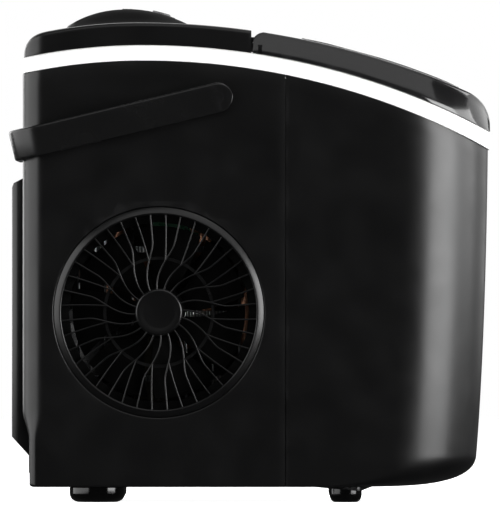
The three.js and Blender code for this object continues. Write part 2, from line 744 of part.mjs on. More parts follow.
// The white tub: reservoir below, rails for the basket, and a rim that closes the housing's top
function innerTank() {
  const top = 300;
  const rimTop = underCrown(raised(BAND_TOP, -4));
  const rimLow = underCrown(raised(BAND_TOP, -6.4));
  const inset = WALL + 1;
  const rimPlan = planSlab(roundedPlan(
    -6,
    FRONT - inset,
    HALF_WIDTH - inset,
    1,
    FRONT_CORNER - inset,
  ), 0, top);
  const rim = rimPlan.intersect(rimTop).subtract(rimLow);
  const tub = tankBlock(0, TANK.floor, top).intersect(rimTop);
  const rails = [-1, 1].map((side) => block(
    BASKET.rear,
    100,
    side > 0 ? 78 : -TANK.half + 1,
    side > 0 ? TANK.half - 1 : -78,
    BASKET.floor - 7,
    BASKET.floor - GAP,
  ));
  const spout = bar('z', DRAIN.neck + 3, 27, TANK.floor + 1, DRAIN.x, DRAIN.y);
  const bore = bar('z', DRAIN.neck, 26, TANK.floor + 4, DRAIN.x, DRAIN.y);
  return joined([tub, rim, spout])
    .subtract(tankBlock(TANK.wall, TANK.floor + TANK.wall, top + 1))
    .add(joined(rails))
    .subtract(bore)
    .subtract(serviceHoles());
}

// Foam round the tub, under its rim
function tankInsulation() {
  const top = 290;
  return tankBlock(-FOAM, TANK.floor - FOAM - 2, top)
    .subtract(tankBlock(-GAP, TANK.floor - GAP, top + 1))
    .intersect(underCrown(raised(BAND_TOP, -12)))
    .intersect(block(SEAM - 0.2, FAR, -FAR, FAR, 0, FAR))
    .subtract(bar('z', DRAIN.neck + 3 + GAP, 0, TANK.floor, DRAIN.x, DRAIN.y))
    .subtract(serviceHoles());
}

// A perforated basket that rests on the rails
function iceBasket() {
  const plan = (inset) => roundedPlan(
    BASKET.rear + inset,
    BASKET.front - inset,
    BASKET.half - inset,
    BASKET.rearCorner - inset,
    BASKET.frontCorner - inset,
  );
  const slab = (inset, z0, z1) => planSlab(plan(inset), z0, z1, 3);
  let basket = slab(0, BASKET.floor, BASKET.top)
    .add(slab(-2.5, BASKET.top - 2, BASKET.top))
    .subtract(slab(BASKET.wall, BASKET.floor + BASKET.wall, BASKET.top + 1));
  for (let slot = -2; slot <= 2; slot += 1) {
    const y = slot * 24;
    basket = basket.subtract(block(82, 120, y - 2, y + 2, BASKET.floor - 1, BASKET.floor + 4));
    basket = basket.subtract(block(BASKET.rear - 5, BASKET.rear + 5, y - 2, y + 2, 164, 206));
  }
  return basket;
}

// A cold plate with a row of round-ended fingers that the ice forms on
function evaporator() {
  const plate = centredBlock(EVAPORATOR.rear, EVAPORATOR.front, EVAPORATOR.half, EVAPORATOR.low, EVAPORATOR.high);
  const fingers = [];
  const spacing = (2 * (EVAPORATOR.half - 6)) / (FINGERS - 1);
  for (let finger = 0; finger < FINGERS; finger += 1) {
    const y = spacing * finger - (spacing * (FINGERS - 1)) / 2;
    fingers.push(turned([
      [0, 198],
      [FINGER_RADIUS, 201],
      [FINGER_RADIUS, EVAPORATOR.low + 1],
      [0, EVAPORATOR.low + 1],
    ], TRAY.x, y, 8));
  }
  return joined([plate, ...fingers]);
}

// A bridge from the tub's rear wall, with a cheek at each end for the tray's trunnions
function evaporatorBracket() {
  const rear = TANK.rear + TANK.wall + GAP;
  const low = EVAPORATOR.high + GAP;
  const cheekInner = TRAY.half + 4;
  const dripGap = centredBlock(rear + 3, TRAY.x - 8, 8, 0, FAR);
  const top = centredBlock(rear, 64, cheekInner + 3, low, low + 2).subtract(dripGap);
  const cheeks = [-1, 1].map((side) => block(
    rear,
    TRAY.x + 7,
    side > 0 ? cheekInner : -cheekInner - 3,
    side > 0 ? cheekInner + 3 : -cheekInner,
    TRAY.z - 7,
    low + 1,
  ));
  const back = centredBlock(rear, rear + 2, cheekInner + 1, low - 6, low + 12)
    .subtract(serviceHoles());
  const bores = bar('y', 3 + GAP, -FAR, FAR, TRAY.x, TRAY.z, 12);
  return joined([top, back, ...cheeks]).subtract(bores);
}

// A half-round trough with a trunnion at each end
function waterTray() {
  const { x, z, inner, outer, half } = TRAY;
  const ends = bar('y', outer, -half, half, x, z, 20);
  const hollow = bar('y', inner, 2 - half, half - 2, x, z, 20);
  const above = block(x - FAR, x + FAR, -FAR, FAR, z + 0.5, FAR);
  const trough = ends.subtract(hollow).subtract(above);
  const trunnions = [-1, 1].map((side) => bar(
    'y',
    3,
    side > 0 ? half - 1 : -half - 7.5,
    side > 0 ? half + 7.5 : 1 - half,
    x,
    z,
    12,
  ));
  const bosses = [-1, 1].map((side) => bar(
    'y',
    6,
    side > 0 ? half - 2 : -half - 2,
    side > 0 ? half + 2 : 2 - half,
    x,
    z,
    16,
  ));
  return joined([trough, ...trunnions, ...bosses]);
}

// A geared motor on the right-hand end of the tray's axis
function trayMotor() {
  const start = TRAY.half + 7.5 + GAP;
  const gearbox = block(TRAY.x - 12, TRAY.x + 12, start, start + 12, TRAY.z - 14, TRAY.z + 10);
  return gearbox.add(bar('y', 9, start + 11, start + 28, TRAY.x, TRAY.z - 2));
}

const levelSensor = () => {
  const rear = TANK.rear + TANK.wall + GAP;
  return block(rear, rear + 5, 60, 68, TANK.floor + 6, TANK.floor + 60);
};

const iceSensor = () => {
  const wall = -TANK.half + TANK.wall + GAP;
  return block(80, 90, wall, wall + 3.4, BASKET.top - 17, BASKET.top - 3);
};

// ---------------------------------------------------------------- machinery

const PUMP = { x: 4, y: -80, radius: 13, top: 50 };

// A pump body on a square foot, with an outlet on top
function waterPump() {
  const { x, y, radius, top } = PUMP;
  const deck = UNDERSIDE + PAN.thick + GAP;
  const base = block(x - 15, x + 15, y - 15, y + 15, deck, deck + 4);
  const body = bar('z', radius, deck + 3, top - 8, x, y);
  return joined([base, body, bar('z', HOSE.radius - 1, top - 9, top, x, y, 12)]);
}

const pumpHose = () => pipe([
  [PUMP.x, PUMP.y, PUMP.top + GAP],
  [PUMP.x, PUMP.y, PUMP.top + 20],
  [10, -84, 120],
  [10, -84, 200],
  [8, -50, HOSE.z - 8],
  [10, HOSE.y - 12, HOSE.z],
  [22, HOSE.y, HOSE.z],
  [TRAY.x - 12, HOSE.y, HOSE.z],
], HOSE.radius, 16);

// A domed pot on a flat base plate, with a terminal box on its left side
function compressor() {
  const { x, y, radius, low, high } = COMPRESSOR;
  const pot = turned([
    [0, low - 1],
    [radius - 6, low - 1],
    [radius, low + 6],
    [radius, high - 12],
    [radius - 8, high - 3],
    [0, high],
  ], x, y, 28);
  const plate = planSlab(roundedPlan(x - 42, x + 42, radius + 4, 12, 12), low - 3, low, 4);
  const geometry = toGeometry(plate);
  geometry.translate(0, y, 0);
  const terminals = block(x - 11, x + 11, y - radius - 7, y - radius + 5, 62, 92);
  return joined([pot, toSolid(geometry), terminals]);
}

const MOUNTS = [
  { name: 'rear_left', x: COMPRESSOR.x - 32, y: COMPRESSOR.y - 34 },
  { name: 'rear_right', x: COMPRESSOR.x - 32, y: COMPRESSOR.y + 34 },
  { name: 'front', x: COMPRESSOR.x + 34, y: COMPRESSOR.y },
];

// A waisted rubber grommet between the base pan and the compressor's plate
function compressorMount({ x, y }) {
  const deck = UNDERSIDE + PAN.thick + GAP;
  const top = COMPRESSOR.low - 3 - GAP;
  const waist = (deck + top) / 2;
  return turned([[0, deck], [7, deck], [7, deck + 4], [5.5, waist], [7, top - 4], [7, top], [0, top]], x, y, 10);
}

const COIL = { rear: -112, front: -6, left: -68, right: -46, low: 66, high: 178 };

// Flat tubes through upright fins
function condenser() {
  const fins = [];
  const finCount = 7;
  const tubeCount = 3;
  for (let fin = 0; fin < finCount; fin += 1) {
    const x = COIL.rear + ((COIL.front - COIL.rear - 1.5) * fin) / (finCount - 1);
    fins.push(block(x, x + 1.5, COIL.left, COIL.right, COIL.low, COIL.high));
  }
  for (let tube = 0; tube < tubeCount; tube += 1) {
    const z = COIL.low + 12 + (tube * (COIL.high - COIL.low - 28)) / (tubeCount - 1);
    fins.push(block(COIL.rear + 0.5, COIL.front - 0.5, COIL.left + 4, COIL.right - 4, z, z + 4));
  }
  const header = (z) => block(COIL.front - 20, COIL.front - 0.5, COIL.left + 4, COIL.right - 4, z, z + 8);
  return joined([...fins, header(COIL.high - 8), header(COIL.low)]);
}

const COIL_PORT = { x: COIL.front - 10, y: (COIL.left + COIL.right) / 2 };

const dischargePipe = () => pipe([
  [COMPRESSOR.x, COMPRESSOR.y, COMPRESSOR.high + GAP],
  [COMPRESSOR.x, COMPRESSOR.y, COMPRESSOR.high + 22],
  [-80, 10, 182],
  [-50, -40, 198],
  [COIL_PORT.x, COIL_PORT.y, 194],
  [COIL_PORT.x, COIL_PORT.y, COIL.high + GAP],
], 3, 14);

const suctionPipe = () => pipe([
  [COMPRESSOR.x + COMPRESSOR.radius + GAP, COMPRESSOR.y, 100],
  [-42, COMPRESSOR.y, 100],
  [-28, SUCTION.y, 122],
  [-24, SUCTION.y, 200],
  [-8, SUCTION.y, LINE_HEIGHT - 4],
  [10, SUCTION.y, LINE_HEIGHT],
  [EVAPORATOR.rear - GAP, SUCTION.y, LINE_HEIGHT],
], SUCTION.radius, 15);

const DRIER = { x: 0, y: 66, radius: 8, low: 62, high: 140 };

// A pencil-shaped drier, tapered at both ends
const filterDrier = () => turned([
  [0, DRIER.low],
  [3, DRIER.low],
  [DRIER.radius, DRIER.low + 12],
  [DRIER.radius, DRIER.high - 12],
  [3, DRIER.high],
  [0, DRIER.high],
], DRIER.x, DRIER.y, 16);

const liquidPipe = () => pipe([
  [COIL_PORT.x, COIL_PORT.y, COIL.low - GAP],
  [COIL_PORT.x, COIL_PORT.y, 52],
  [-6, -10, 46],
  [DRIER.x, DRIER.y - 14, 40],
  [DRIER.x, DRIER.y, DRIER.low - 12],
  [DRIER.x, DRIER.y, DRIER.low - GAP],
], 2.5, 12);

const capillaryTube = () => pipe([
  [DRIER.x, DRIER.y, DRIER.high + GAP],
  [DRIER.x, DRIER.y, DRIER.high + 10],
  [6, DRIER.y - 4, DRIER.high + 18],
  [15, 40, 168],
  [15, -10, 196],
  [12, CAPILLARY.y, 224],
  [20, CAPILLARY.y, LINE_HEIGHT],
  [EVAPORATOR.rear - GAP, CAPILLARY.y, LINE_HEIGHT],
], CAPILLARY.radius, 16);

const VALVE = { x: -30, y: 70, z: 163 };

// A solenoid valve with its two brazed lines: from the compressor and on to the evaporator
function hotGasValve() {
  const top = COMPRESSOR.high - 0.9;
  const body = bar('x', 6, VALVE.x - 8, VALVE.x + 8, VALVE.y, VALVE.z, 14);
  const stem = bar('z', 4, VALVE.z, VALVE.z + 14, VALVE.x, VALVE.y, 12);
  const solenoid = block(VALVE.x - 9, VALVE.x + 9, VALVE.y - 8, VALVE.y + 8, VALVE.z + 12, VALVE.z + 32);
  const inlet = pipe([
    [-75, 50, top],
    [-75, 50, 146],
    [-56, 66, VALVE.z],
    [VALVE.x - 6, VALVE.y, VALVE.z],
  ], HOT_GAS.radius, 9);
  const outlet = pipe([
    [VALVE.x + 6, VALVE.y, VALVE.z],
    [-8, 68, 176],
    [0, 44, 214],
    [4, HOT_GAS.y + 6, LINE_HEIGHT - 2],
    [18, HOT_GAS.y, LINE_HEIGHT],
    [EVAPORATOR.rear - GAP, HOT_GAS.y, LINE_HEIGHT],
  ], HOT_GAS.radius, 14);
  return joined([body, stem, solenoid, inlet, outlet]);
}

// An upright circuit board by the right-hand wall, with its larger components
function powerBoard() {
  const board = block(-64, -2, 94, 95.6, 172, 240);
  const transformer = block(-58, -36, 80, 94.5, 210, 232);
  const relay = block(-28, -12, 84, 94.5, 214, 230);
  const capacitor = bar('y', 7, 82, 94.5, -20, 190, 14);
  return joined([board, transformer, relay, capacitor]);
}

// ---------------------------------------------------------------- assembly

const iceMaker = new THREE.Group();
iceMaker.name = 'ice_maker';

const LOOKS = {
  blackShell: [0x131313, 0.42, 0],
  glossBlack: [0x0c0c0d, 0.12, 0],
  white: [0xe9eaec, 0.35, 0],
  smokedGlass: [0x16181a, 0.08, 0],
  rubber: [0x17171a, 0.85, 0],
  liner: [0xe4e6e6, 0.4, 0],
  foam: [0xf2f2ee, 0.9, 0],
  clearPlastic: [0xc9d4da, 0.15, 0],
  steel: [0xb9bcc0, 0.3, 1],
  zinc: [0x9ea2a6, 0.45, 1],
  copper: [0xb06a42, 0.35, 1],
  aluminium: [0xb4b7ba, 0.4, 1],
  circuit: [0x1f5a34, 0.5, 0],
  greyPlastic: [0x5a5d60, 0.55, 0],
};

function add(name, solid, look, group = iceMaker) {
  const [color, roughness, metalness] = LOOKS[look];
  const material = new THREE.MeshStandardMaterial({ color, roughness, metalness });
  const mesh = new THREE.Mesh(toGeometry(solid), material);
  mesh.name = name;
  group.add(mesh);
}

add('rear_shell', rearShell(), 'blackShell');
add('front_shell', frontShell(), 'blackShell');
add('base_pan', basePan(), 'blackShell');
add('trim_band', trimBand(), 'white');
add('drain_plug', drainPlug(), 'rubber');
add('cord_gland', cordGland(), 'rubber');

for (const [place, { x, y, radius }] of [['rear', REAR_FOOT], ['front', FRONT_FOOT]]) {
  add(`foot_${place}_left`, foot(x, -y, radius), 'rubber');
  add(`foot_${place}_right`, foot(x, y, radius), 'rubber');
}

add('rear_cover', rearCover(), 'blackShell');
for (const [row, z] of [['lower', SCREW.low], ['upper', SCREW.high]]) {
  add(`cover_screw_${row}_left`, coverScrew(-SCREW.y, z), 'zinc');
  add(`cover_screw_${row}_right`, coverScrew(SCREW.y, z), 'zinc');
}

add('top_cover', topCover(), 'blackShell');
add('control_panel', controlPanel(), 'glossBlack');
add('indicator_lens', indicatorLens(), 'smokedGlass');
for (const [index, name] of ['power', 'size', 'clean'].entries()) {
  add(`button_${name}`, panelButton(BUTTON_PLACES[index]), 'greyPlastic');
}
add('control_board', controlBoard(), 'circuit');

add('lid_frame', lidFrame(), 'glossBlack');
add('lid_window', lidWindow(), 'smokedGlass');
add('hinge_pin_left', hingePin(-HINGE_EAR_Y), 'steel');
add('hinge_pin_right', hingePin(HINGE_EAR_Y), 'steel');

const handle = new THREE.Group();
handle.position.set(PIVOT.x, 0, PIVOT.z);
handle.rotation.y = -HANDLE_SLOPE;
iceMaker.add(handle);
add('carry_handle', handleBand(), 'blackShell', handle);
add('handle_pivot_left', handlePivot(-1), 'blackShell');
add('handle_pivot_right', handlePivot(1), 'blackShell');

add('fan_grille', fanGrille(), 'blackShell');
add('fan_shroud', fanShroud(), 'blackShell');
add('fan_motor', fanMotor(), 'zinc');
add('fan_blade', fanBlade(), 'blackShell');

add('inner_tank', innerTank(), 'liner');
add('tank_insulation', tankInsulation(), 'foam');
add('ice_basket', iceBasket(), 'clearPlastic');
add('evaporator', evaporator(), 'steel');
add('evaporator_bracket', evaporatorBracket(), 'steel');
add('water_tray', waterTray(), 'clearPlastic');
add('tray_motor', trayMotor(), 'greyPlastic');
add('level_sensor', levelSensor(), 'greyPlastic');
add('ice_sensor', iceSensor(), 'greyPlastic');

add('water_pump', waterPump(), 'greyPlastic');
add('pump_hose', pumpHose(), 'clearPlastic');
add('compressor', compressor(), 'blackShell');
for (const place of MOUNTS) {
  add(`compressor_mount_${place.name}`, compressorMount(place), 'rubber');
}
add('condenser', condenser(), 'aluminium');
add('discharge_pipe', dischargePipe(), 'copper');
add('suction_pipe', suctionPipe(), 'copper');
add('filter_drier', filterDrier(), 'copper');
add('liquid_pipe', liquidPipe(), 'copper');
add('capillary_tube', capillaryTube(), 'copper');
add('hot_gas_valve', hotGasValve(), 'copper');
add('power_board', powerBoard(), 'circuit');

export default iceMaker;
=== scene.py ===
import json
import math

import bmesh
import bpy
from mathutils import Matrix, Vector


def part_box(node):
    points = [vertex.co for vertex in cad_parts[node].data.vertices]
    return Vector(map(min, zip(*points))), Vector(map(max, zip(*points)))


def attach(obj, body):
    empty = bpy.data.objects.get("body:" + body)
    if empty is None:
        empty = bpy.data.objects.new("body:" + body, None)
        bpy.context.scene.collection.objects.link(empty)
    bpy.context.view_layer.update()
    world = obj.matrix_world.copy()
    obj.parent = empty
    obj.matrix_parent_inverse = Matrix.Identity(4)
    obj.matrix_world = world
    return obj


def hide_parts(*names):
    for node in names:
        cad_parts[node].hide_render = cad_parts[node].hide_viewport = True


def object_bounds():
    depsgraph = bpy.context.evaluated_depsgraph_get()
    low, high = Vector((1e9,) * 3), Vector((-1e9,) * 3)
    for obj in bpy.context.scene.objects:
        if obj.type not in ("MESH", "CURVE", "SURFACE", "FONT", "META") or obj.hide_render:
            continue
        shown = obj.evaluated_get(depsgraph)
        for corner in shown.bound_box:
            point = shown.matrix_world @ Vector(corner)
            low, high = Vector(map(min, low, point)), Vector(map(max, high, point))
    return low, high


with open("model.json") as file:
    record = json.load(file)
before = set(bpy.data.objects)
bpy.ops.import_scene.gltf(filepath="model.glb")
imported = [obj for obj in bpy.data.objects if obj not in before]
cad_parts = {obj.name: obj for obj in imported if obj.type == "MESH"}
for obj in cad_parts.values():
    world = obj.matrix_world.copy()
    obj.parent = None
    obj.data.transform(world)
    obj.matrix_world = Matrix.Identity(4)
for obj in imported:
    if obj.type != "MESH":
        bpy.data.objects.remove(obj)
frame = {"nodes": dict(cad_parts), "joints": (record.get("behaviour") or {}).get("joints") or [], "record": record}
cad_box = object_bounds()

# Looks for a countertop ice maker. Metres, +X is the front, +Z is up, left is -Y and right is +Y.

MM = 0.001
record = frame["record"]
body_of_node = {node: body for body, nodes in record["behaviour"]["bodies"].items() for node in nodes}
slot_of_node = {part["node"]: part["material_slot"] for part in record["subparts"]}
joint = {j["name"]: j for j in frame["joints"]}

# ---------------------------------------------------------------- places taken from the frame

rear_low, rear_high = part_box("rear_shell")
front_low, front_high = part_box("front_shell")
band_low, band_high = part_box("trim_band")
pan_low, pan_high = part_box("base_pan")
top_low, top_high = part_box("top_cover")
lid_low, lid_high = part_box("lid_frame")
window_low, window_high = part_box("lid_window")
grille_low, grille_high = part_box("fan_grille")
handle_low, handle_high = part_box("carry_handle")

REAR = rear_low.x
HALF = rear_high.y
UNDERSIDE = rear_low.z
SEAM = (rear_high.x + front_low.x) / 2
GAP = 0.3 * MM
WALL = 2.5 * MM
REAR_CORNER = 14 * MM
HEEL_CORNER = 5 * MM
FRONT_CORNER = 56 * MM
FRONT = 155 * MM
TOE = 147.2 * MM
TOE_HEIGHT = 31 * MM
TOE_START = 88 * MM
FRONT_LEAN = 130 * MM
FRONT_TOP = 300 * MM
REAR_TUCK = 4.4 * MM
TUCK_LOW = 40 * MM
TUCK_HIGH = 60 * MM
BAND_HEIGHT = 10 * MM


class Crown:
    """A curved top edge in side view: a rear arc and a front arc that share one peak."""

    def __init__(self, x, z, rear, front):
        self.x, self.z, self.rear, self.front = x, z, rear, front

    def height(self, x):
        radius = self.rear if x < self.x else self.front
        return self.z - radius + math.sqrt(radius**2 - (x - self.x) ** 2)

    def raised(self, by):
        return Crown(self.x, self.z + by, self.rear + by, self.front + by)


BAND_TOP = Crown(-69.3 * MM, band_high.z, 373 * MM, 478 * MM)
RIDGE = Crown(-72.5 * MM, 310.7 * MM, 306 * MM, 535 * MM)
HUMP = Crown(-81.5 * MM, top_high.z, 68 * MM, 92 * MM)

# ---------------------------------------------------------------- mesh helpers


def new_piece(name, vertices, faces):
    mesh = bpy.data.meshes.new(name)
    mesh.from_pydata([tuple(v) for v in vertices], [], faces)
    mesh.update()
    piece = bpy.data.objects.new(name, mesh)
    bpy.context.scene.collection.objects.link(piece)
    return piece


def grid_faces(rows, columns, wrap_rows=False, wrap_columns=False):
    """Quads over a rows by columns grid of points, stored row by row."""
    faces = []
    for r in range(rows if wrap_rows else rows - 1):
        for c in range(columns if wrap_columns else columns - 1):
            here, right = r * columns + c, r * columns + (c + 1) % columns
            up, up_right = (r + 1) % rows * columns + c, (r + 1) % rows * columns + (c + 1) % columns
            faces.append((here, right, up_right, up))
    return faces


def grid_piece(name, rows, wrap_rows=False, wrap_columns=False):
    """A piece from a list of rows of points."""
    points = [point for row in rows for point in row]
    return new_piece(name, points, grid_faces(len(rows), len(rows[0]), wrap_rows, wrap_columns))


def fix_normals(piece):
    bm = bmesh.new()
    bm.from_mesh(piece.data)
    bmesh.ops.remove_doubles(bm, verts=bm.verts, dist=1e-6)
    bmesh.ops.recalc_face_normals(bm, faces=bm.faces)
    bm.to_mesh(piece.data)
    bm.free()


def bake(piece):
    """Makes the piece's modifiers part of its mesh."""
    view = bpy.context.view_layer
    view.update()
    mesh = bpy.data.meshes.new_from_object(piece.evaluated_get(view.depsgraph))
    piece.modifiers.clear()
    old = piece.data
    piece.data = mesh
    bpy.data.meshes.remove(old)


def thicken(piece, thickness, offset=-1):
    solidify = piece.modifiers.new("wall", "SOLIDIFY")
    solidify.thickness = thickness
    solidify.offset = offset
    bake(piece)


def cut(piece, cutter, operation="DIFFERENCE"):
    """Cuts the piece with another mesh, which is then deleted."""
    boolean = piece.modifiers.new("cut", "BOOLEAN")
    boolean.operation = operation
    boolean.solver = "EXACT"
    boolean.object = cutter
    bake(piece)
    bpy.data.objects.remove(cutter)


def soften(piece, width, segments=2, angle=32):
    """Rounds the sharp edges, and shades the rest smooth."""
    if width:
        bevel = piece.modifiers.new("edges", "BEVEL")
        bevel.width = width
        bevel.segments = segments
        bevel.limit_method = "ANGLE"
        bevel.angle_limit = math.radians(angle)
        bevel.harden_normals = False
        bake(piece)
    piece.data.shade_smooth()
    piece.data.set_sharp_from_angle(angle=math.radians(40))


def join(name, pieces):
    """One piece out of several."""
    bm = bmesh.new()
    for piece in pieces:
        bm.from_mesh(piece.data)
        bpy.data.objects.remove(piece)
    mesh = bpy.data.meshes.new(name)
    bm.to_mesh(mesh)
    bm.free()
    joined = bpy.data.objects.new(name, mesh)
    bpy.context.scene.collection.objects.link(joined)
    return joined


def ring_points(radius, sides, centre=(0, 0), start=0.0):
    return [
        (
            centre[0] + radius * math.cos(start + 2 * math.pi * i / sides),
            centre[1] + radius * math.sin(start + 2 * math.pi * i / sides),
        )
        for i in range(sides)
    ]


def lathe(name, profile, sides=64, closed=False):
    """A turned piece round Z. A profile that isn't closed starts and ends on the axis."""
    rows = []
    for radius, height in profile:
        rows.append([(x, y, height) for x, y in ring_points(max(radius, 1e-6), sides)])
    piece = grid_piece(name, rows, wrap_rows=closed, wrap_columns=True)
    fix_normals(piece)
    return piece


def along_y(piece, x, y, z):
    """Turns a piece made round Z so that its top faces left, and moves it into place."""
    piece.data.transform(Matrix.Translation((x, y, z)) @ Matrix.Rotation(math.pi / 2, 4, "X"))
    return piece


def box_piece(name, low, high):
    x0, y0, z0 = low
    x1, y1, z1 = high
    corners = [(x, y, z) for z in (z0, z1) for x, y in ((x0, y0), (x1, y0), (x1, y1), (x0, y1))]
    faces = [(0, 3, 2, 1), (4, 5, 6, 7), (0, 1, 5, 4), (1, 2, 6, 5), (2, 3, 7, 6), (3, 0, 4, 7)]
    return new_piece(name, corners, faces)


def smoothstep(low, high, value):
    t = min(1.0, max(0.0, (value - low) / (high - low)))
    return t * t * (3 - 2 * t)


def mix(a, b, t):
    return a + (b - a) * t


# ---------------------------------------------------------------- materials


class Look:
    """A Principled material whose colour, roughness and bump come from nodes in the piece's own coordinates."""

    def __init__(self, name, colour, roughness, metallic=0.0):
        self.material = bpy.data.materials.new(name)
        self.material.use_nodes = True
        self.tree = self.material.node_tree
        self.shader = self.tree.nodes["Principled BSDF"]
        self.colour = (*colour, 1.0)
        self.place = self.add("ShaderNodeTexCoord").outputs["Object"]
        self.set("Base Color", self.colour)
        self.set("Roughness", roughness)
        self.set("Metallic", metallic)

    def add(self, kind, **values):
        node = self.tree.nodes.new(kind)
        for name, value in values.items():
            node.inputs[name.replace("_", " ")].default_value = value
        return node

    def set(self, socket, value):
        self.shader.inputs[socket].default_value = value
        return self

    def link(self, source, target):
        self.tree.links.new(source, target)

    def noise(self, size, detail=2.0, stretch=(1, 1, 1)):
        """Soft noise with features about size metres across, drawn out where stretch is over 1."""
        mapping = self.add("ShaderNodeMapping")
        mapping.inputs["Scale"].default_value = [1 / s for s in stretch]
        noise = self.add("ShaderNodeTexNoise", Scale=1 / size, Detail=detail)
        self.link(self.place, mapping.inputs["Vector"])
        self.link(mapping.outputs["Vector"], noise.inputs["Vector"])
        return noise.outputs["Fac"]

    def cells(self, size):
        """The distance to the nearest point of a random scatter, size metres apart."""
        cells = self.add("ShaderNodeTexVoronoi", Scale=1 / size)
        self.link(self.place, cells.inputs["Vector"])
        return cells.outputs["Distance"]

    def span(self, factor, low, high, source_low=0.3, source_high=0.7):
        """Maps a factor onto low..high."""
        span = self.add("ShaderNodeMapRange")
        for name, value in (("From Min", source_low), ("From Max", source_high), ("To Min", low), ("To Max", high)):
            span.inputs[name].default_value = value
        self.link(factor, span.inputs["Value"])
        return span.outputs["Result"]

    def tint(self, colour, factor):
        """Mixes another colour into the base colour."""
        mixer = self.add("ShaderNodeMix")
        mixer.data_type = "RGBA"
        amount, first, second, result = mixer.inputs[0], mixer.inputs[6], mixer.inputs[7], mixer.outputs[2]
        base = self.shader.inputs["Base Color"]
        if base.is_linked:
            self.link(base.links[0].from_socket, first)
        else:
            first.default_value = self.colour
        second.default_value = (*colour, 1.0)
        self.link(factor, amount)
        self.link(result, base)
        return self

    def roughen(self, factor, low, high):
        self.link(self.span(factor, low, high), self.shader.inputs["Roughness"])
        return self

    def bump(self, height, depth):
        """Adds relief, depth metres from its lowest to its highest point."""
        bump = self.add("ShaderNodeBump", Strength=1.0, Distance=depth)
        normal = self.shader.inputs["Normal"]
        if normal.is_linked:
            self.link(normal.links[0].from_socket, bump.inputs["Normal"])
        self.link(height, bump.inputs["Height"])
        self.link(bump.outputs["Normal"], normal)
        return self

    def wear(self, colour, most):
        """Rubs the colour through on convex edges, in broken patches."""
        shape = self.add("ShaderNodeNewGeometry").outputs["Pointiness"]
        edges = self.span(shape, 0.0, 1.0, 0.53, 0.62)
        patches = self.span(self.noise(9 * MM, 4.0), 0.0, most, 0.42, 0.62)
        both = self.add("ShaderNodeMath")
        both.operation = "MULTIPLY"
        self.link(edges, both.inputs[0])
        self.link(patches, both.inputs[1])
        return self.tint(colour, both.outputs[0])


def moulded(name, colour, roughness, grain=0.9 * MM, depth=0.02 * MM, worn=(0.1, 0.1, 0.1), most=0.25):
    """Moulded plastic: fine grain, a slow colour drift, and slightly rubbed edges."""
    look = Look(name, colour, roughness)
    drift = look.span(look.noise(70 * MM, 3.0), 0.0, 0.5)
    look.tint([c * 0.8 for c in colour], drift)
    look.wear(worn, most)
    look.roughen(look.noise(25 * MM, 5.0), roughness - 0.035, roughness + 0.035)
    look.bump(look.noise(grain, 2.0), depth)
    return look


def black_shell():
    """Satin black, finely textured all over."""
    return moulded("satin_black", (0.0012, 0.0012, 0.0013), 0.33, 0.7 * MM, 0.012 * MM, (0.03, 0.03, 0.031), 0.1).material


def gloss_black():
    """Polished black with fine hazy patches and a little flow waviness."""
    look = moulded("gloss_black", (0.006, 0.006, 0.0062), 0.14, 14 * MM, 0.012 * MM, (0.03, 0.03, 0.031))
    look.set("Coat Weight", 0.35)
    look.set("Coat Roughness", 0.05)
    return look.material


def handle_black():
    """The shell's black, rubbed smoother where hands take hold."""
    return moulded("handle_black", (0.003, 0.003, 0.0031), 0.26, 0.9 * MM, 0.01 * MM, (0.03, 0.03, 0.031), 0.1).material


def grille_black():
    """The shell's black with a finer, smoother face."""
    return moulded("grille_black", (0.0012, 0.0012, 0.0013), 0.3, 1 * MM, 0.006 * MM, (0.02, 0.02, 0.02), 0.08).material


def duct_black():
    """Matt black for the air duct and its fan, with a film of dust."""
    look = moulded("duct_black", (0.0008, 0.0008, 0.0008), 0.55, 1.5 * MM, 0.02 * MM, (0.006, 0.006, 0.0055), 0.1)
    look.tint((0.0022, 0.0022, 0.002), look.span(look.noise(12 * MM, 5.0), 0.0, 0.5, 0.5, 0.75))
    return look.set("Specular IOR Level", 0.04).material


def foot_black():
    """Glossy hard rubber, scuffed in places."""
    return moulded("foot_black", (0.001, 0.001, 0.001), 0.14, 1 * MM, 0.003 * MM, (0.01, 0.01, 0.01), 0.1).material


def white_trim():
    look = moulded("satin_white", (0.86, 0.86, 0.855), 0.3, 1.2 * MM, 0.006 * MM, (0.78, 0.77, 0.74), 0.3)
    return look.material


def smoked_window():
    """Smoke-tinted acrylic, faintly hazy where it has been wiped."""
    look = Look("smoked_acrylic", (0.2, 0.2, 0.21), 0.04)
    look.set("Transmission Weight", 1.0)
    look.set("IOR", 1.49)
    look.roughen(look.noise(30 * MM, 5.0, (1, 4, 1)), 0.02, 0.06)
    look.bump(look.noise(40 * MM, 1.0), 0.01 * MM)
    return look.material


def grey_plastic():
    return moulded("grey_plastic", (0.11, 0.113, 0.118), 0.42, 0.8 * MM, 0.02 * MM, (0.2, 0.2, 0.2)).material


def black_rubber():
    """Matt rubber with a dusty bloom."""
    look = moulded("black_rubber", (0.012, 0.012, 0.012), 0.62, 1.1 * MM, 0.04 * MM, (0.05, 0.048, 0.045), 0.4)
    look.tint((0.03, 0.029, 0.027), look.span(look.noise(6 * MM, 5.0), 0.0, 0.5, 0.5, 0.75))
    return look.material


def white_liner():
    return moulded("liner_white", (0.74, 0.75, 0.76), 0.36, 1.5 * MM, 0.01 * MM, (0.6, 0.6, 0.58), 0.3).material


def foam():
    """Closed-cell foam, pitted all over."""
    look = Look("cell_foam", (0.72, 0.66, 0.5), 0.9)
    look.tint((0.5, 0.42, 0.28), look.span(look.noise(20 * MM, 4.0), 0.0, 0.6))
    look.bump(look.cells(1.6 * MM), 0.35 * MM)
    look.roughen(look.noise(5 * MM), 0.82, 0.98)
    return look.material


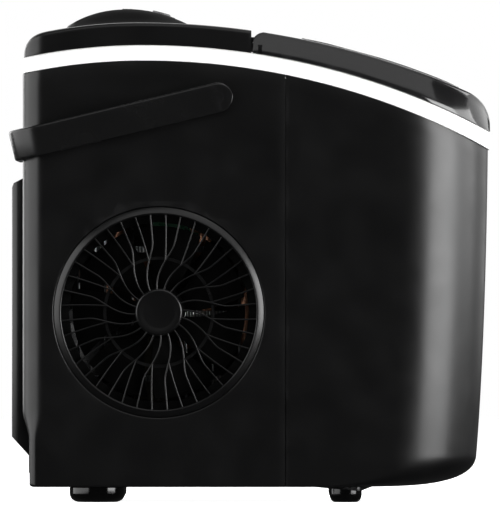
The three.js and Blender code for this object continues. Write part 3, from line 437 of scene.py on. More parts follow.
def clear_plastic():
    """Clear moulded polycarbonate with faint flow lines."""
    look = Look("clear_plastic", (0.88, 0.93, 0.95), 0.08)
    look.set("Transmission Weight", 0.9)
    look.set("IOR", 1.58)
    look.tint((0.7, 0.78, 0.82), look.span(look.noise(15 * MM, 3.0), 0.0, 0.5))
    look.roughen(look.noise(12 * MM, 4.0), 0.05, 0.16)
    look.bump(look.noise(8 * MM, 2.0), 0.03 * MM)
    return look.material


def brushed_metal(name, colour, roughness, stretch, dull):
    """Bare metal with drawn-out scratches, tarnish patches and bright edges."""
    look = Look(name, colour, roughness, 1.0)
    look.tint(dull, look.span(look.noise(12 * MM, 5.0), 0.0, 0.7))
    look.wear([min(1.0, 1.25 * c) for c in colour], 0.6)
    look.roughen(look.noise(1.5 * MM, 3.0, stretch), roughness - 0.08, roughness + 0.08)
    look.bump(look.noise(0.5 * MM, 2.0, stretch), 0.008 * MM)
    return look


def plated_steel():
    return brushed_metal("nickel_plate", (0.63, 0.61, 0.57), 0.22, (1, 12, 1), (0.45, 0.43, 0.4)).material


def zinc_steel():
    """Galvanised sheet with a soft spangle."""
    look = brushed_metal("zinc_steel", (0.55, 0.56, 0.57), 0.38, (8, 1, 1), (0.4, 0.41, 0.43))
    look.tint((0.7, 0.71, 0.72), look.span(look.cells(7 * MM), 0.0, 0.5, 0.2, 0.6))
    return look.material


def black_enamel():
    """Thick black paint on steel, with orange peel."""
    look = moulded("black_enamel", (0.012, 0.012, 0.013), 0.26, 2.4 * MM, 0.05 * MM, (0.12, 0.11, 0.1), 0.5)
    return look.material


def aluminium_coil():
    """Pressed fins, as fine ribs along the coil, with painted shade darkening the grooves between them."""
    look = brushed_metal("fin_aluminium", (0.8, 0.81, 0.82), 0.34, (1, 1, 10), (0.62, 0.63, 0.65))
    ribs = look.add("ShaderNodeTexWave", Scale=1 / (2.2 * 3 * MM))
    look.link(look.place, ribs.inputs["Vector"])
    look.bump(ribs.outputs["Fac"], 0.5 * MM)
    # Painted shade: the colour darkens towards near black in the grooves between the ribs.
    look.tint((0.12, 0.12, 0.13), look.span(ribs.outputs["Fac"], 0.8, 0.0, 0.1, 0.5))
    return look.material


def copper():
    """Drawn copper tube, browned in patches."""
    look = brushed_metal("copper", (0.42, 0.22, 0.14), 0.36, (1, 1, 6), (0.3, 0.15, 0.1))
    look.tint((0.25, 0.12, 0.08), look.span(look.noise(25 * MM, 4.0), 0.0, 0.55, 0.5, 0.7))
    return look.material


def circuit_board():
    """Green solder mask over a mesh of tracks."""
    look = Look("circuit_board", (0.008, 0.045, 0.022), 0.3)
    tracks = look.add("ShaderNodeTexBrick", Scale=1 / (8 * MM))
    tracks.inputs["Mortar Size"].default_value = 0.06
    look.link(look.place, tracks.inputs["Vector"])
    look.tint((0.016, 0.09, 0.045), tracks.outputs["Fac"])
    look.roughen(look.noise(4 * MM, 4.0), 0.22, 0.4)
    look.bump(tracks.outputs["Fac"], 0.05 * MM)
    return look.material


MATERIALS = {
    "black_shell": black_shell(),
    "gloss_black": gloss_black(),
    "handle_black": handle_black(),
    "grille_black": grille_black(),
    "duct_black": duct_black(),
    "foot_black": foot_black(),
    "white_trim": white_trim(),
    "smoked_window": smoked_window(),
    "grey_plastic": grey_plastic(),
    "black_rubber": black_rubber(),
    "white_liner": white_liner(),
    "foam": foam(),
    "clear_plastic": clear_plastic(),
    "plated_steel": plated_steel(),
    "zinc_steel": zinc_steel(),
    "black_enamel": black_enamel(),
    "aluminium_coil": aluminium_coil(),
    "copper": copper(),
    "circuit_board": circuit_board(),
}


def stand_for(piece, *nodes, look=None):
    """Puts the finished piece in the place of CAD nodes, in their body, with the look of the first node's slot or the
    look given.
    """
    first = nodes[0]
    piece.data.materials.clear()
    piece.data.materials.append(MATERIALS[look or slot_of_node[first]])
    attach(piece, body_of_node[first])
    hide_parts(*nodes)
    replaced.update(nodes)


replaced = set()

# ---------------------------------------------------------------- housing


def arc_steps(count):
    return [step / count for step in range(count + 1)]


def wall_columns(side_steps, corner_steps, face_steps):
    """Columns round one end of the housing, from the seam on the left, over the end face, to the right."""
    left = [("side", -1, t) for t in arc_steps(side_steps)]
    left += [("corner", -1, t) for t in arc_steps(corner_steps)[1:]]
    face = [("face", 0, t) for t in arc_steps(face_steps)[1:-1]]
    right = [(kind, 1, t) for kind, _, t in reversed(left)]
    return left + face + right


def plan_point(column, start, end, half, corner):
    """Where a column stands in plan. Start is the seam's x and end is the x of the end face."""
    kind, side, t = column
    way = 1 if end > start else -1
    centre = end - way * corner
    if kind == "side":
        return mix(start, centre, t), side * half
    if kind == "corner":
        angle = t * math.pi / 2
        return centre + way * corner * math.sin(angle), side * (half - corner + corner * math.cos(angle))
    return end, mix(corner - half, half - corner, t)


def front_at(z):
    """X of the front face, which sweeps in under the toe and leans back above it."""
    if z < TOE_HEIGHT:
        rise = (z - UNDERSIDE) / (TOE_HEIGHT - UNDERSIDE)
        s = math.sqrt(max(0.0, rise))
        return TOE_START * (1 - s) ** 2 + TOE * (1 - (1 - s) ** 2)
    span, bend = FRONT_TOP - TOE_HEIGHT, FRONT_LEAN - TOE_HEIGHT
    a = span - 2 * bend
    s = (-bend + math.sqrt(bend**2 + a * (z - TOE_HEIGHT))) / a
    return TOE * (1 - s) ** 2 + FRONT * (1 - (1 - s) ** 2)


def rear_at(z):
    """X of the rear face, which steps in at its foot and ends in a rounded heel."""
    heel = 2 * MM
    under = max(0.0, heel - (z - UNDERSIDE))
    round_in = heel - math.sqrt(heel**2 - under**2)
    return REAR + REAR_TUCK * (1 - smoothstep(TUCK_LOW, TUCK_HIGH, z)) + round_in


def rear_corner_at(z):
    """Radius of the rear corners in plan, which is tighter at the heel."""
    return mix(HEEL_CORNER, REAR_CORNER, smoothstep(TUCK_LOW, TUCK_HIGH, z))


def front_corner_at(z):
    return FRONT_CORNER


def shell_skin(name, columns, start, end_at, corner_at, pan_end, pan_corner):
    """The outer skin of one end of the housing: the underside round the pan, the bottom edge and the wall."""
    top = BAND_TOP.raised(-BAND_HEIGHT - GAP)
    edge = 1.2 * MM
    rows = [[(*plan_point(c, start, pan_end, PAN_HALF, pan_corner), UNDERSIDE) for c in columns]]
    for t in arc_steps(5):
        inset = edge * (1 - math.sin(t * math.pi / 2))
        z = UNDERSIDE + edge * (1 - math.cos(t * math.pi / 2))
        rows.append(shell_row(columns, start, end_at, corner_at, inset, [z] * len(columns)))
    shoulder = 66 * MM
    low_steps, high_steps = 26, 22
    for t in arc_steps(low_steps)[1:]:
        z = mix(UNDERSIDE + edge, shoulder, t**1.6)
        rows.append(shell_row(columns, start, end_at, corner_at, 0, [z] * len(columns)))
    rim = [plan_point(c, start, end_at(FRONT_TOP), HALF, corner_at(FRONT_TOP)) for c in columns]
    tops = [top.height(x) for x, y in rim]
    for t in arc_steps(high_steps)[1:]:
        rows.append(shell_row(columns, start, end_at, corner_at, 0, [mix(shoulder, high, t) for high in tops]))
    return grid_piece(name, rows)


def shell_row(columns, start, end_at, corner_at, inset, heights):
    row = []
    for column, z in zip(columns, heights):
        end = end_at(z)
        way = 1 if end > start else -1
        radius = min(corner_at(z), abs(end - start) - 2 * MM) - inset
        row.append((*plan_point(column, start, end - way * inset, HALF - inset, radius), z))
    return row


PAN_REAR = pan_low.x - GAP
PAN_FRONT = pan_high.x + GAP
PAN_HALF = pan_high.y + GAP


def hole_cutter(radius, depth, lip):
    """A round cutter along Z whose mouth, at z = 0, opens out over a rounded lip."""
    profile = [(0, -depth), (radius, -depth), (radius, -lip)]
    profile += [
        (radius + lip * (1 - math.cos(t * math.pi / 2)), -lip + lip * math.sin(t * math.pi / 2))
        for t in arc_steps(4)[1:]
    ]
    profile += [(radius + lip, 4 * lip), (0, 4 * lip)]
    return lathe("cutter", profile, 96)


def rear_shell():
    columns = wall_columns(26, 10, 12)
    shell = shell_skin("rear_shell_skin", columns, SEAM - GAP, rear_at, rear_corner_at, PAN_REAR, 8 * MM)
    fix_normals(shell)
    face_outwards(shell)
    thicken(shell, WALL)
    soften(shell, 0.7 * MM, 3, 50)
    fan = centre_of("fan_grille")
    mouth = (grille_high.x - grille_low.x) / 2 + GAP
    cut(shell, along_y(hole_cutter(mouth, 12 * MM, 0.8 * MM), fan.x, -HALF, fan.z))
    for side in (-1, 1):
        pin = centre_of("handle_pivot_left")
        hole = lathe("cutter", [(0, -8 * MM), (4.3 * MM, -8 * MM), (4.3 * MM, 8 * MM), (0, 8 * MM)], 48)
        cut(shell, along_y(hole, pin.x, side * HALF, pin.z))
    cut(shell, box_piece("cutter", (REAR - 5 * MM, -62 * MM, 64 * MM), (REAR + 10 * MM, 62 * MM, 196 * MM)))
    gland = centre_of("cord_gland")
    hole = lathe("cutter", [(0, -15 * MM), (5.3 * MM, -15 * MM), (5.3 * MM, 15 * MM), (0, 15 * MM)], 48)
    hole.data.transform(Matrix.Translation((REAR, gland.y, gland.z)) @ Matrix.Rotation(math.pi / 2, 4, "Y"))
    cut(shell, hole)
    soften(shell, 0)
    tongues = [seam_tongue(side) for side in (-1, 1)]
    stand_for(join("rear_shell_whole", [shell] + tongues), "rear_shell")


def seam_tongue(side):
    """The thin strip inside the wall that closes the seam between the two shells."""
    reach, thick, foot = 4 * MM, 1 * MM, UNDERSIDE + 4 * MM
    top = BAND_TOP.raised(-BAND_HEIGHT - GAP).height(SEAM) - 2 * MM
    near, far = sorted((side * (HALF - WALL - GAP), side * (HALF - WALL - GAP - thick)))
    tongue = box_piece("tongue", (SEAM - reach, near, foot), (SEAM + reach, far, top))
    soften(tongue, 0.2 * MM)
    return tongue


def front_shell():
    columns = wall_columns(20, 32, 16)
    shell = shell_skin("front_shell_skin", columns, SEAM + GAP, front_at, front_corner_at, PAN_FRONT, 4 * MM)
    fix_normals(shell)
    face_outwards(shell)
    thicken(shell, WALL)
    soften(shell, 0.7 * MM, 3, 50)
    stand_for(shell, "front_shell")


def face_outwards(piece):
    """Turns an open skin's faces away from the housing's middle."""
    middle = Vector((SEAM, 0, 150 * MM))
    lean = sum((face.center - middle).dot(face.normal) * face.area for face in piece.data.polygons)
    if lean < 0:
        piece.data.flip_normals()


def centre_of(node):
    low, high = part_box(node)
    return (low + high) / 2


def trim_band():
    """A closed band round the housing, with a rounded outer face, that follows the crown."""
    rear = wall_columns(24, 10, 12)
    front = wall_columns(26, 32, 16)
    wall, edge = 3 * MM, 1.6 * MM
    section = []
    for corner_inset, corner_low, from_angle in ((edge, edge, -90), (edge, BAND_HEIGHT - edge, 0)):
        for t in arc_steps(6):
            angle = math.radians(from_angle + 90 * t)
            section.append((corner_inset - edge * math.cos(angle), corner_low + edge * math.sin(angle)))
    section += [(wall, BAND_HEIGHT), (wall, 0)]
    rows = []
    for inset, rise in section:
        row = []
        for columns, end, corner in ((rear, band_low.x, REAR_CORNER), (front[::-1], band_high.x, FRONT_CORNER)):
            way = 1 if end > SEAM else -1
            for column in columns:
                radius = corner + 1 * MM - inset
                x, y = plan_point(column, SEAM, end - way * inset, band_high.y - inset, radius)
                row.append((x, y, BAND_TOP.raised(rise - BAND_HEIGHT).height(x)))
        rows.append(row)
    band = grid_piece("trim_band_sweep", rows, wrap_rows=True, wrap_columns=True)
    fix_normals(band)
    soften(band, 0)
    stand_for(band, "trim_band")

# ---------------------------------------------------------------- top cover and controls


def deck(name, stations, half_at, low_at, top_at, edge, columns_at, lean=(0.0, 0.0), lift=lambda x, y: 0.0):
    """A cap over the housing, open below: up the left wall, round its edge, across the top and down again.

    The wall's slope inwards goes from the first lean at its foot to the second at its top. The end rows drop
    to the lower edge, so that both ends are closed."""
    rows = []
    for x in stations:
        half, low, top = half_at(x), low_at(x), top_at(x)
        radius = min(edge, 0.7 * (top - low), half - 1 * MM)
        wall = top - radius - low
        step = 0.1 * MM
        narrowing = (half_at(x - step) - half) / step
        skew = min(3.0, math.hypot(1, narrowing))
        left = []
        for t in arc_steps(6):
            inset = skew * wall * (lean[0] * t + (lean[1] - lean[0]) * t**2 / 2)
            left.append((inset - half, low + wall * t))
        inner = -left[-1][0] - radius
        for t in arc_steps(8)[1:]:
            angle = t * math.pi / 2
            left.append((-inner - radius * math.cos(angle), low + wall + radius * math.sin(angle)))
        flat = [(inner * column, top) for column in columns_at(x)]
        right = [(-y, z) for y, z in reversed(left)]
        rows.append([(x, y, z + (lift(x, y) if z == top else 0.0)) for y, z in left + flat + right])
    rows.insert(0, [(x, y, low_at(x)) for x, y, z in rows[0]])
    rows.append([(x, y, low_at(x)) for x, y, z in rows[-1]])
    return grid_piece(name, rows)


def even_columns(count):
    """Where the columns across a deck stand, as fractions of its flat half, for any x."""
    fractions = [mix(-1, 1, t) for t in arc_steps(count)[1:-1]]
    return lambda x: fractions


COVER_REAR = top_low.x
COVER_FRONT = 0.9 * MM
COVER_HALF = 104.8 * MM
SHOULDER = -128 * MM
SHOULDER_LOW = 289 * MM
COVER_EDGE = 2.6 * MM
HUMP_REAR = -120 * MM
HUMP_FRONT = -38 * MM
HUMP_HALF = 60 * MM
HUMP_CORNER = 9 * MM
HUMP_WALL = 1.8 * MM
HUMP_CENTRE = HUMP.z - HUMP.front


def cover_half(x):
    """Half the top cover's width, which narrows round its rear corners."""
    reach = x - (COVER_REAR + REAR_CORNER)
    if reach >= 0:
        return COVER_HALF
    return COVER_HALF - REAR_CORNER + math.sqrt(max(0.0, REAR_CORNER**2 - reach**2))


def cover_top(x):
    """Height of the top cover, with its rounded shoulder at the rear."""
    if x >= SHOULDER:
        return RIDGE.height(x)
    run = (SHOULDER - x) / (SHOULDER - COVER_REAR)
    drop = RIDGE.height(SHOULDER) - SHOULDER_LOW
    slope = RIDGE.height(x) - RIDGE.height(SHOULDER)
    return RIDGE.height(SHOULDER) + slope * (1 - run) - drop * (1 - math.sqrt(max(0.0, 1 - run**2.6)))


def past_hump_end(x):
    """How far x has gone into the rounded corners at either end of the hump's plan."""
    return max(HUMP_REAR + HUMP_CORNER - x, x - (HUMP_FRONT - HUMP_CORNER), 0.0)


def hump_lift(x, y):
    """How far the control hump stands over the ridge, inside its rounded plan and steep side wall."""
    over = HUMP.height(x) - RIDGE.height(x)
    soft = 1.2 * MM
    rise = (over + math.sqrt(over**2 + soft**2)) / 2 - soft / 2
    past_side = max(abs(y) - (HUMP_HALF - HUMP_CORNER), 0.0)
    outside = math.hypot(past_hump_end(x), past_side) - HUMP_CORNER
    return max(0.0, rise) * (1 - smoothstep(-HUMP_WALL, 0, outside))


def cover_columns(x):
    """Columns across the top cover, close together where the hump's side wall stands."""
    edge = COVER_HALF - COVER_EDGE
    corner = min(HUMP_CORNER, past_hump_end(x))
    side = HUMP_HALF - HUMP_CORNER + math.sqrt(HUMP_CORNER**2 - corner**2)
    right = [mix(0, side - HUMP_WALL, t) for t in arc_steps(14)]
    right += [mix(side - HUMP_WALL, side, t) for t in arc_steps(8)[1:]]
    right += [mix(side, edge, t) for t in arc_steps(12)[1:-1]]
    return [-y / edge for y in reversed(right[1:])] + [y / edge for y in right]


def slope_block(name, from_angle, to_angle, half, outer, inner, steps=16):
    """A solid that follows the hump's front slope between two angles and two radii."""
    rows = []
    for t in arc_steps(steps):
        angle = mix(from_angle, to_angle, t)
        ring = []
        for radius, y in ((outer, -half), (outer, half), (inner, half), (inner, -half)):
            ring.append((HUMP.x + radius * math.sin(angle), y, HUMP_CENTRE + radius * math.cos(angle)))
        rows.append(ring)
    piece = grid_piece(name, rows, wrap_columns=True)
    bm = bmesh.new()
    bm.from_mesh(piece.data)
    bmesh.ops.holes_fill(bm, edges=bm.edges)
    bm.to_mesh(piece.data)
    bm.free()
    fix_normals(piece)
    return piece


def panel_angles():
    """The angles of the control panel's rear and front edges round the hump's front arc."""
    low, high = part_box("control_panel")
    return math.asin((low.x - HUMP.x) / HUMP.front), math.asin((high.x - HUMP.x) / HUMP.front)


def hinge_ear(y):
    """An arm with a round knuckle that holds a hinge pin."""
    pin = centre_of("hinge_pin_left")
    radius, half, root = 4 * MM, 3 * MM, COVER_FRONT - WALL
    outline = [(root, pin.z - radius), (root, pin.z + radius)]
    outline += [
        (pin.x + radius * math.sin(t * math.pi), pin.z + radius * math.cos(t * math.pi)) for t in arc_steps(16)
    ]
    bore = [(pin.x + 2 * MM * math.cos(a), pin.z + 2 * MM * math.sin(a)) for a in turn_steps(24)]
    ear = new_piece("ear", [(x, y + half, z) for x, z in outline], [list(range(len(outline)))])
    thicken_along(ear, Vector((0, -2 * half, 0)))
    cutter = new_piece("cutter", [(x, y + 2 * half, z) for x, z in bore], [list(range(len(bore)))])
    thicken_along(cutter, Vector((0, -4 * half, 0)))
    cut(ear, cutter)
    soften(ear, 0.4 * MM, 2, 50)
    return ear


def turn_steps(count):
    return [2 * math.pi * step / count for step in range(count)]


def thicken_along(piece, reach):
    """Draws a flat face out into a solid."""
    bm = bmesh.new()
    bm.from_mesh(piece.data)
    drawn = bmesh.ops.extrude_face_region(bm, geom=bm.faces[:])
    moved = [item for item in drawn["geom"] if isinstance(item, bmesh.types.BMVert)]
    bmesh.ops.translate(bm, verts=moved, vec=reach)
    bmesh.ops.recalc_face_normals(bm, faces=bm.faces)
    bm.to_mesh(piece.data)
    bm.free()


def top_cover():
    shoulder = [mix(COVER_REAR, SHOULDER, 1 - math.cos(t * math.pi / 2)) for t in arc_steps(20)]
    deck_run = [mix(SHOULDER, COVER_FRONT, t) for t in arc_steps(64)[1:]]
    for t in arc_steps(10)[1:]:
        reach = HUMP_CORNER * math.sin(t * math.pi / 2)
        deck_run += [HUMP_REAR + HUMP_CORNER - reach, HUMP_FRONT - HUMP_CORNER + reach]
    low = BAND_TOP.raised(GAP)
    stations = shoulder + sorted(deck_run)
    skin = deck(
        "top_cover_skin", stations, cover_half, low.height, cover_top, COVER_EDGE, cover_columns, lift=hump_lift
    )
    fix_normals(skin)
    face_up(skin)
    thicken(skin, WALL)
    soften(skin, 0.6 * MM, 3, 55)
    from_angle, to_angle = panel_angles()
    clear = GAP / HUMP.front
    panel_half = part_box("control_panel")[1].y + GAP
    opening = slope_block(
        "cutter", from_angle - clear, to_angle + clear, panel_half, HUMP.front + 10 * MM, HUMP.front - 20 * MM
    )
    cut(skin, opening)
    soften(skin, 0)
    ears = [hinge_ear(side * 80 * MM) for side in (-1, 1)]
    stand_for(join("top_cover_skin", [skin, *ears]), "top_cover")


def face_up(piece):
    """Turns an open cap's faces upwards."""
    if sum(face.normal.z * face.area for face in piece.data.polygons) < 0:
        piece.data.flip_normals()


def panel_buttons():
    """Dished caps, each with a fine raised ring."""
    for name in ("button_power", "button_size", "button_clean"):
        middle = centre_of(name)
        angle = math.radians(15)
        radius = 6 * MM
        profile = [(0, -5 * MM), (radius + 1.4 * MM, -5 * MM), (radius + 1.4 * MM, -3.6 * MM), (radius, -3.6 * MM)]
        profile += [(radius, 0.3 * MM), (radius - 0.15 * MM, 0.65 * MM), (radius - 0.5 * MM, 0.9 * MM)]
        profile += [(radius - 1.0 * MM, 1.0 * MM), (radius - 1.6 * MM, 0.85 * MM), (radius - 2.6 * MM, 0.6 * MM)]
        profile += [(radius * 0.3, 0.42 * MM), (0, 0.4 * MM)]
        cap = lathe(f"{name}_cap", profile, 56)
        place = Matrix.Translation((HUMP.x, middle.y, HUMP_CENTRE)) @ Matrix.Rotation(angle, 4, "Y")
        cap.data.transform(place @ Matrix.Translation((0, 0, HUMP.front)))
        soften(cap, 0)
        stand_for(cap, name)


# ---------------------------------------------------------------- lid

LID_FRONT = lid_high.x
LID_HALF = COVER_HALF
LID_CORNER = FRONT_CORNER + 0.5 * MM
NOSE = 24 * MM
HINGE_RADIUS = 6.8 * MM
RIDGE_CENTRE = RIDGE.z - RIDGE.front
NOSE_REACH = LID_FRONT - NOSE - RIDGE.x
NOSE_HEIGHT = RIDGE_CENTRE + math.sqrt((RIDGE.front - NOSE) ** 2 - NOSE_REACH**2)
NOSE_START = RIDGE.x + NOSE_REACH * RIDGE.front / (RIDGE.front - NOSE)


def lid_half(x):
    reach = x - (LID_FRONT - LID_CORNER)
    if reach <= 0:
        return LID_HALF
    return LID_HALF - LID_CORNER + math.sqrt(max(0.0, LID_CORNER**2 - reach**2))


def lid_top(x):
    """Height of the lid: round over the hinge, along the ridge and down the nose."""
    hinge = centre_of("hinge_pin_left")
    if x < hinge.x:
        return hinge.z + math.sqrt(max(0.0, HINGE_RADIUS**2 - (hinge.x - x) ** 2))
    if x < NOSE_START:
        return RIDGE.height(x)
    return NOSE_HEIGHT + math.sqrt(max(0.0, NOSE**2 - (x - (LID_FRONT - NOSE)) ** 2))


def lid_plan(margin, steps=20):
    """The window's outline, moved outwards by a margin."""
    rear, front = window_low.x - margin, window_high.x + margin
    half = window_high.y + margin
    columns = wall_columns(1, steps, 2)
    middle = (rear + front) / 2
    back = [plan_point(c, middle, rear, half, 18 * MM + margin) for c in columns]
    nose = [plan_point(c, middle, front, half, 42 * MM + margin) for c in columns]
    return back + nose[-2:0:-1]


def lid_frame():
    hinge = centre_of("hinge_pin_left")
    barrel = [hinge.x - HINGE_RADIUS * math.cos(t * math.pi / 2) for t in arc_steps(10)]
    corner_start = LID_FRONT - LID_CORNER
    run = [mix(hinge.x, corner_start, t) for t in arc_steps(22)[1:]]
    nose = [corner_start + LID_CORNER * math.sin(t * math.pi / 2) for t in arc_steps(40)[1:]]
    low = BAND_TOP.raised(2 * GAP)
    columns, lean = even_columns(40), (0.16, 0.48)
    skin = deck("lid_frame_skin", barrel + run + nose, lid_half, low.height, lid_top, 1.8 * MM, columns, lean)
    fix_normals(skin)
    face_up(skin)
    thicken(skin, 2.2 * MM)
    soften(skin, 0.5 * MM, 2, 55)
    outline = lid_plan(GAP)
    hole = new_piece("cutter", [(x, y, 240 * MM) for x, y in outline], [list(range(len(outline)))])
    thicken_along(hole, Vector((0, 0, 100 * MM)))
    cut(skin, hole)
    for side in (-1, 1):
        middle, slot = side * 80 * MM, 3.6 * MM
        low_corner = (-20 * MM, middle - slot, 250 * MM)
        cut(skin, box_piece("cutter", low_corner, (hinge.x + 6.5 * MM, middle + slot, 330 * MM)))
        groove = sorted((side * (LID_HALF - 1.3 * MM), side * (LID_HALF + 1 * MM)))
        low_corner = (hinge.x - 3.2 * MM, groove[0], 240 * MM)
        cut(skin, box_piece("cutter", low_corner, (hinge.x - 0.8 * MM, groove[1], 330 * MM)))
    soften(skin, 0)
    stand_for(skin, "lid_frame")


def lid_window():
    """A domed pane with a rounded edge that stands proud of the lid."""
    outline = lid_plan(0)
    middle = Vector(((window_low.x + window_high.x) / 2, 0))
    proud, thick, edge = 1.0 * MM, 3.6 * MM, 1.0 * MM
    dome = RIDGE.raised(proud)

    def ring(scale_inset, drop):
        row = []
        for x, y in outline:
            flat = Vector((x, y)) - middle
            place = middle + flat * (1 - scale_inset / flat.length)
            row.append((place.x, place.y, dome.height(place.x) - drop))
        return row

    rows = [ring(0.0, thick)]
    for t in arc_steps(8):
        angle = t * math.pi / 2
        rows.append(ring(edge * (1 - math.cos(angle)), edge * (1 - math.sin(angle))))
    for t in arc_steps(14)[1:]:
        rows.append([shrink(point, middle, t, dome, 0) for point in rows[9]])
    for t in arc_steps(6)[:-1]:
        rows.append([shrink(point, middle, 1 - t, dome, thick) for point in rows[0]])
    rows.append(rows[0])
    pane = grid_piece("lid_window_pane", rows, wrap_columns=True)
    fix_normals(pane)
    soften(pane, 0)
    stand_for(pane, "lid_window")


def shrink(point, middle, t, dome, drop):
    """A point drawn in towards the middle of the pane, and kept on its dome."""
    x, y = mix(point[0], middle.x, t), mix(point[1], middle.y, t)
    return x, y, dome.height(x) - drop


# ---------------------------------------------------------------- carrying handle


def carry_handle():
    """A flat band bent into a U, with rounded edges and round ends."""
    pivot = centre_of("handle_pivot_left")
    reach, width, thick = 137 * MM, 20 * MM, 3.8 * MM
    half, corner = handle_high.y - thick / 2, 20 * MM - thick / 2
    end = -reach + thick / 2
    stations = []
    for t in arc_steps(16)[:-1]:
        angle = t * math.pi / 2
        stations.append((width / 2 * math.cos(angle), -half, 0, -1, width / 2 * math.sin(angle)))
    stations += [(mix(0, end + corner, t), -half, 0, -1, width / 2) for t in arc_steps(20)]
    for t in arc_steps(14)[1:]:
        angle = t * math.pi / 2
        nx, ny = -math.sin(angle), -math.cos(angle)
        stations.append((end + corner + corner * nx, corner - half + corner * ny, nx, ny, width / 2))
    stations += [(end, mix(corner - half, 0, t), -1, 0, width / 2) for t in arc_steps(8)[1:]]
    stations += [(x, -y, nx, -ny, w) for x, y, nx, ny, w in reversed(stations[:-1])]
    edge = thick / 2 - 0.05 * MM
    pin_low, pin_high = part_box("handle_pivot_left")
    snug = (pin_high.x - pin_low.x) / 2 + 0.06 * MM
    rows = []
    for x, y, nx, ny, reach_z in stations:
        soft = min(edge, 0.9 * max(reach_z, 0.05 * MM))
        row = []
        for quarter in range(4):
            for t in arc_steps(5):
                angle = (quarter + t) * math.pi / 2
                out = math.cos(angle) * soft + (thick / 2 - soft) * (1 if quarter in (0, 3) else -1)
                up = math.sin(angle) * soft + (max(reach_z, 0.05 * MM) - soft) * (1 if quarter < 2 else -1)
                row.append((x + nx * out, y + ny * out, up))
        rows.append(row)
    band = grid_piece("carry_handle_band", rows, wrap_columns=True)
    bm = bmesh.new()
    bm.from_mesh(band.data)
    bmesh.ops.holes_fill(bm, edges=bm.edges)
    bm.to_mesh(band.data)
    bm.free()
    fix_normals(band)
    for side in (-1, 1):
        hole = lathe("cutter", [(0, -8 * MM), (snug, -8 * MM), (snug, 8 * MM), (0, 8 * MM)], 48)
        cut(band, along_y(hole, 0, side * half, 0))
    slope = math.radians(-13.4)
    band.data.transform(Matrix.Translation((pivot.x, 0, pivot.z)) @ Matrix.Rotation(slope, 4, "Y"))
    soften(band, 0)
    stand_for(band, "carry_handle", look="handle_black")


def handle_pivots():
    """Plain pins, almost flush with the handle's arms."""
    for side in ("left", "right"):
        node = f"handle_pivot_{side}"
        low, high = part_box(node)
        radius, length = (high.x - low.x) / 2, high.y - low.y
        edge = 0.15 * MM
        profile = [(0, -length), (radius, -length)]
        for t in arc_steps(4):
            angle = t * math.pi / 2
            profile.append((radius - edge * (1 - math.cos(angle)), -edge * (1.4 - math.sin(angle))))
        profile.append((0, -0.4 * edge))
        pin = lathe(f"{node}_pin", profile, 48)
        middle = centre_of(node)
        if side == "left":
            along_y(pin, middle.x, low.y, middle.z)
        else:
            turn = Matrix.Rotation(-math.pi / 2, 4, "X")
            pin.data.transform(Matrix.Translation((middle.x, high.y, middle.z)) @ turn)
        soften(pin, 0)
        stand_for(pin, node, look="handle_black")


# ---------------------------------------------------------------- fan grille

VANES = 20
VANE_PITCH = 2 * math.pi / VANES
FIRST_VANE = math.radians(49)
HUB = 15.3 * MM
OPENING = 63.2 * MM
SPLIT = 33.5 * MM
HUB_FACE = 1.6 * MM
VANE_FACE = 2.2 * MM
VANE_DEEP = 5.2 * MM


def vane_sweep(radius):
    """How far a main vane has turned clockwise at a radius, from its root on the hub."""
    return math.radians(18) * smoothstep(HUB - 2 * MM, 46 * MM, radius)


def branch_sweep(radius):
    """The branch leaves its vane at the split and bends the other way."""
    root = vane_sweep(SPLIT)
    return root + (math.radians(9) - root) * (radius - SPLIT) / (OPENING - SPLIT)


def vane(name, sweep, turn, start, end, width, depth):
    """A curved bar with a rounded front edge, drawn round Z with its front at z = 0."""
    rows = []
    for t in arc_steps(28):
        radius = mix(start, end, t)
        step = 0.2 * MM
        here, ahead = (spoke(r, turn - sweep(r)) for r in (radius, radius + step))
        along = (ahead - here).normalized()
        side = Vector((-along.y, along.x))
        row = []
        for fraction, drop in vane_section(width, depth):
            place = here + side * fraction
            row.append((place.x, place.y, -drop))
        rows.append(row)
    return grid_piece(name, rows, wrap_columns=True)


def spoke(radius, angle):
    return Vector((radius * math.cos(angle), radius * math.sin(angle)))


def vane_section(width, depth):
    """Half-round front, straight sides and a flat back, as offsets across and into the grille."""
    radius = width / 2
    points = [(radius * math.cos(t * math.pi), radius * (1 - math.sin(t * math.pi))) for t in arc_steps(6)]
    return points + [(-radius * 0.8, depth), (radius * 0.8, depth)]


def grille_rim(outer):
    """A ring with its rounded crest at the opening, from where it slopes gently down to the outer edge."""
    slope, crest, lip = math.radians(23), 0.9 * MM, 0.3 * MM
    profile = [(OPENING, -VANE_DEEP), (outer, -VANE_DEEP)]
    foot = crest * (1 - math.cos(slope)) + (outer - lip - OPENING - crest * (1 + math.sin(slope))) * math.tan(slope)
    profile += [(outer, -foot - lip), (outer - lip, -foot)]
    for t in arc_steps(8):
        angle = mix(math.pi / 2 - slope, math.pi, t)
        profile.append((OPENING + crest + crest * math.cos(angle), crest * (math.sin(angle) - 1)))
    return profile


def grille_support():
    """The ring behind the vanes, where they branch."""
    inner, outer, front, back = SPLIT + 0.5 * MM, SPLIT + 2.5 * MM, VANE_DEEP - 0.2 * MM, VANE_DEEP + 1.6 * MM
    return [(inner, -front), (outer, -front), (outer, -back), (inner, -back)]


def grille_hub():
    """A round button with a soft edge and a shallow dish."""
    edge, rim, dish = 1.6 * MM, 1.4 * MM, 0.5 * MM
    profile = [(0, -VANE_DEEP), (HUB, -VANE_DEEP)]
    for t in arc_steps(8):
        angle = t * math.pi / 2
        profile.append((HUB - edge * (1 - math.cos(angle)), -HUB_FACE - edge * (1 - math.sin(angle))))
    profile += [(HUB - edge - rim, -HUB_FACE), (HUB - edge - 2 * rim, -HUB_FACE - dish * 0.8)]
    return profile + [(HUB - edge - 3 * rim, -HUB_FACE - dish), (0, -HUB_FACE - dish)]


